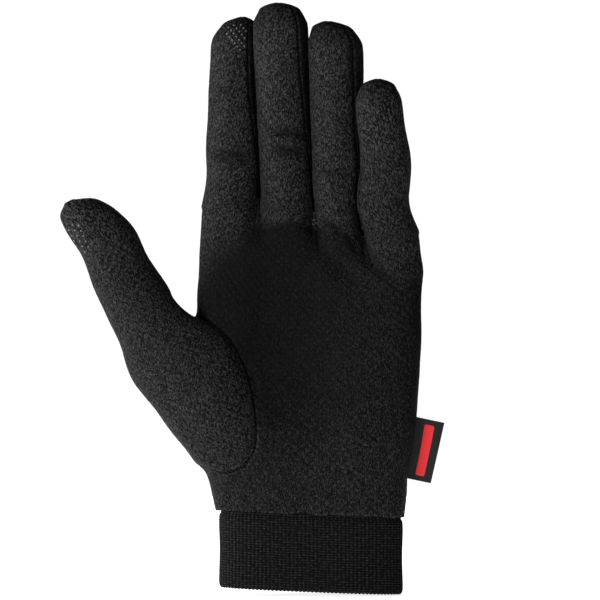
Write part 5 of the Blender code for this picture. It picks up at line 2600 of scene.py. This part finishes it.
def outward_faces(mesh: Mesh) -> None:
    """Turn a closed mesh's faces outwards.

    Args:
        mesh: The mesh.
    """
    work = bmesh.new()
    work.from_mesh(mesh)
    bmesh.ops.recalc_face_normals(work, faces=work.faces)
    work.to_mesh(mesh)
    work.free()


# The studio


class Lamp(NamedTuple):
    """A square soft light: its name, its place, the length of its side and its watts."""

    name: str
    place: tuple
    size: float
    watts: float


@dataclass
class Studio:
    """A white floor, soft lamps and a long lens level with the glove's middle."""

    view_x: float = -4.4 * MM
    view_z: float = 116.6 * MM
    view_width: float = 240.0 * MM
    glove_front: float = -9.0 * MM
    distance: float = 1.6
    sensor: float = 36.0
    clip_end: float = 20.0
    floor_radius: float = 0.8
    floor_sides: int = 96
    floor_glow: float = 0.8
    floor_gap: float = 0.4 * MM
    surround_light: float = 0.12
    surround_seen: float = 1.05
    lit: tuple = (0.0, 0.0, 0.11)
    lamps: tuple = (
        Lamp("key", (-0.92, -0.92, 0.05), 0.50, 26.0),
        Lamp("edge", (-1.15, 0.10, 0.25), 0.40, 12.0),
        Lamp("back", (-0.20, 1.30, 0.50), 0.60, 10.0),
    )

    def camera(self) -> None:
        """Set the camera where the photograph was taken from."""
        data = bpy.data.cameras.new("camera")
        data.sensor_width = self.sensor
        data.lens = self.sensor * (self.distance + self.glove_front) / self.view_width
        data.clip_end = self.clip_end
        made = bpy.data.objects.new("camera", data)
        made.location = (self.view_x, -self.distance, self.view_z)
        made.rotation_euler = (math.radians(90.0), 0.0, 0.0)
        bpy.context.scene.collection.objects.link(made)
        bpy.context.scene.camera = made

    def floor(self) -> None:
        """Lay a pale floor of opal acrylic, lit a little from below, under the glove."""
        mesh = bpy.data.meshes.new("floor")
        work = bmesh.new()
        bmesh.ops.create_circle(
            work, cap_ends=True, segments=self.floor_sides, radius=self.floor_radius
        )
        work.to_mesh(mesh)
        work.free()
        mesh.transform(Matrix.Translation((0.0, 0.0, CAD_BOX[0].z - self.floor_gap)))
        material = bpy.data.materials.new("opal_acrylic_floor")
        material.use_nodes = True
        tree = material.node_tree
        feed(tree, tree.nodes["Principled BSDF"], {
            "Base Color": linear("#f4f4f2"),
            "Roughness": 0.9,
            "Specular IOR Level": 0.1,
            "Emission Color": linear("#ffffff"),
            "Emission Strength": self.floor_glow,
        })
        mesh.materials.append(material)
        made = bpy.data.objects.new("floor", mesh)
        bpy.context.scene.collection.objects.link(made)

    def world(self) -> None:
        """A white surround that the camera sees brighter than the glove does."""
        world = bpy.data.worlds.new("studio")
        world.use_nodes = True
        tree = world.node_tree
        tree.nodes.clear()
        path = add_node(tree, "ShaderNodeLightPath")
        strength = add_node(tree, "ShaderNodeMix", {
            0: path.outputs["Is Camera Ray"], 2: self.surround_light, 3: self.surround_seen,
        })
        white = add_node(tree, "ShaderNodeBackground", {0: linear("#ffffff"), 1: strength})
        add_node(tree, "ShaderNodeOutputWorld", {0: white})
        bpy.context.scene.world = world

    def light(self) -> None:
        """Light the glove from the left, a little below its middle, and weakly from behind."""
        for lamp in self.lamps:
            data = bpy.data.lights.new(lamp.name, "AREA")
            data.shape = "SQUARE"
            data.size = lamp.size
            data.energy = lamp.watts
            made = bpy.data.objects.new(lamp.name, data)
            made.location = lamp.place
            way = Vector(self.lit) - Vector(lamp.place)
            made.rotation_euler = way.to_track_quat("-Z", "Y").to_euler()
            bpy.context.scene.collection.objects.link(made)

    def build(self) -> None:
        """Set up the floor, the surround, the lights and the camera."""
        self.camera()
        self.floor()
        self.world()
        self.light()
        bpy.context.scene.view_settings.view_transform = "Standard"


def main() -> None:
    """Build the studio and every piece of the glove."""
    logging.basicConfig(level=logging.INFO, format="%(message)s")
    Studio().build()
    hand, thumb, cloth = Hand(), Thumb(), Cloth()
    cloth.cut(Cage(hand, thumb))
    knit = BrushedKnit().material()
    # The strips between the fingers take a darker knit: painted shade where the fingers shadow
    # them.
    shaded_strip_knit = BrushedKnit("plain_warp_knit", high="#38383a").material()
    panels = {p: cloth.make(p, shaded_strip_knit if p in STRIPS else knit) for p in PANELS}
    Cuff().make(hand, cloth.wall, RibKnit())
    thread = Plain("polyester_thread", "#0c0c0d", "#1e1e20", roughness=0.6, grain=0.3 * MM)
    Stitching().make(cloth, thread)
    silicone = Plain("printed_silicone", "#38383a", "#6e6e70", roughness=0.35, grain=0.5 * MM)
    printed, recipe = silicone.material(), dot_recipe()
    index_tip = Vector((-28.4 * MM, 0.0, 221.8 * MM))
    index_dots = DotPatch("index_dots", index_tip, degrees=-50.0, counts=(5, 7, 8, 6))
    index_dots.make(recipe, panels[Panel.PALM], printed)
    thumb_tip = Vector((-92.2 * MM, 0.0, 141.0 * MM))
    thumb_dots = DotPatch(
        "thumb_dots", thumb_tip, degrees=-66.0, counts=(5, 6, 5), along=2.3 * MM
    )
    thumb_dots.make(recipe, panels[Panel.THUMB], printed)
    SideTab().make(hand)


if __name__ == "__main__":
    main()
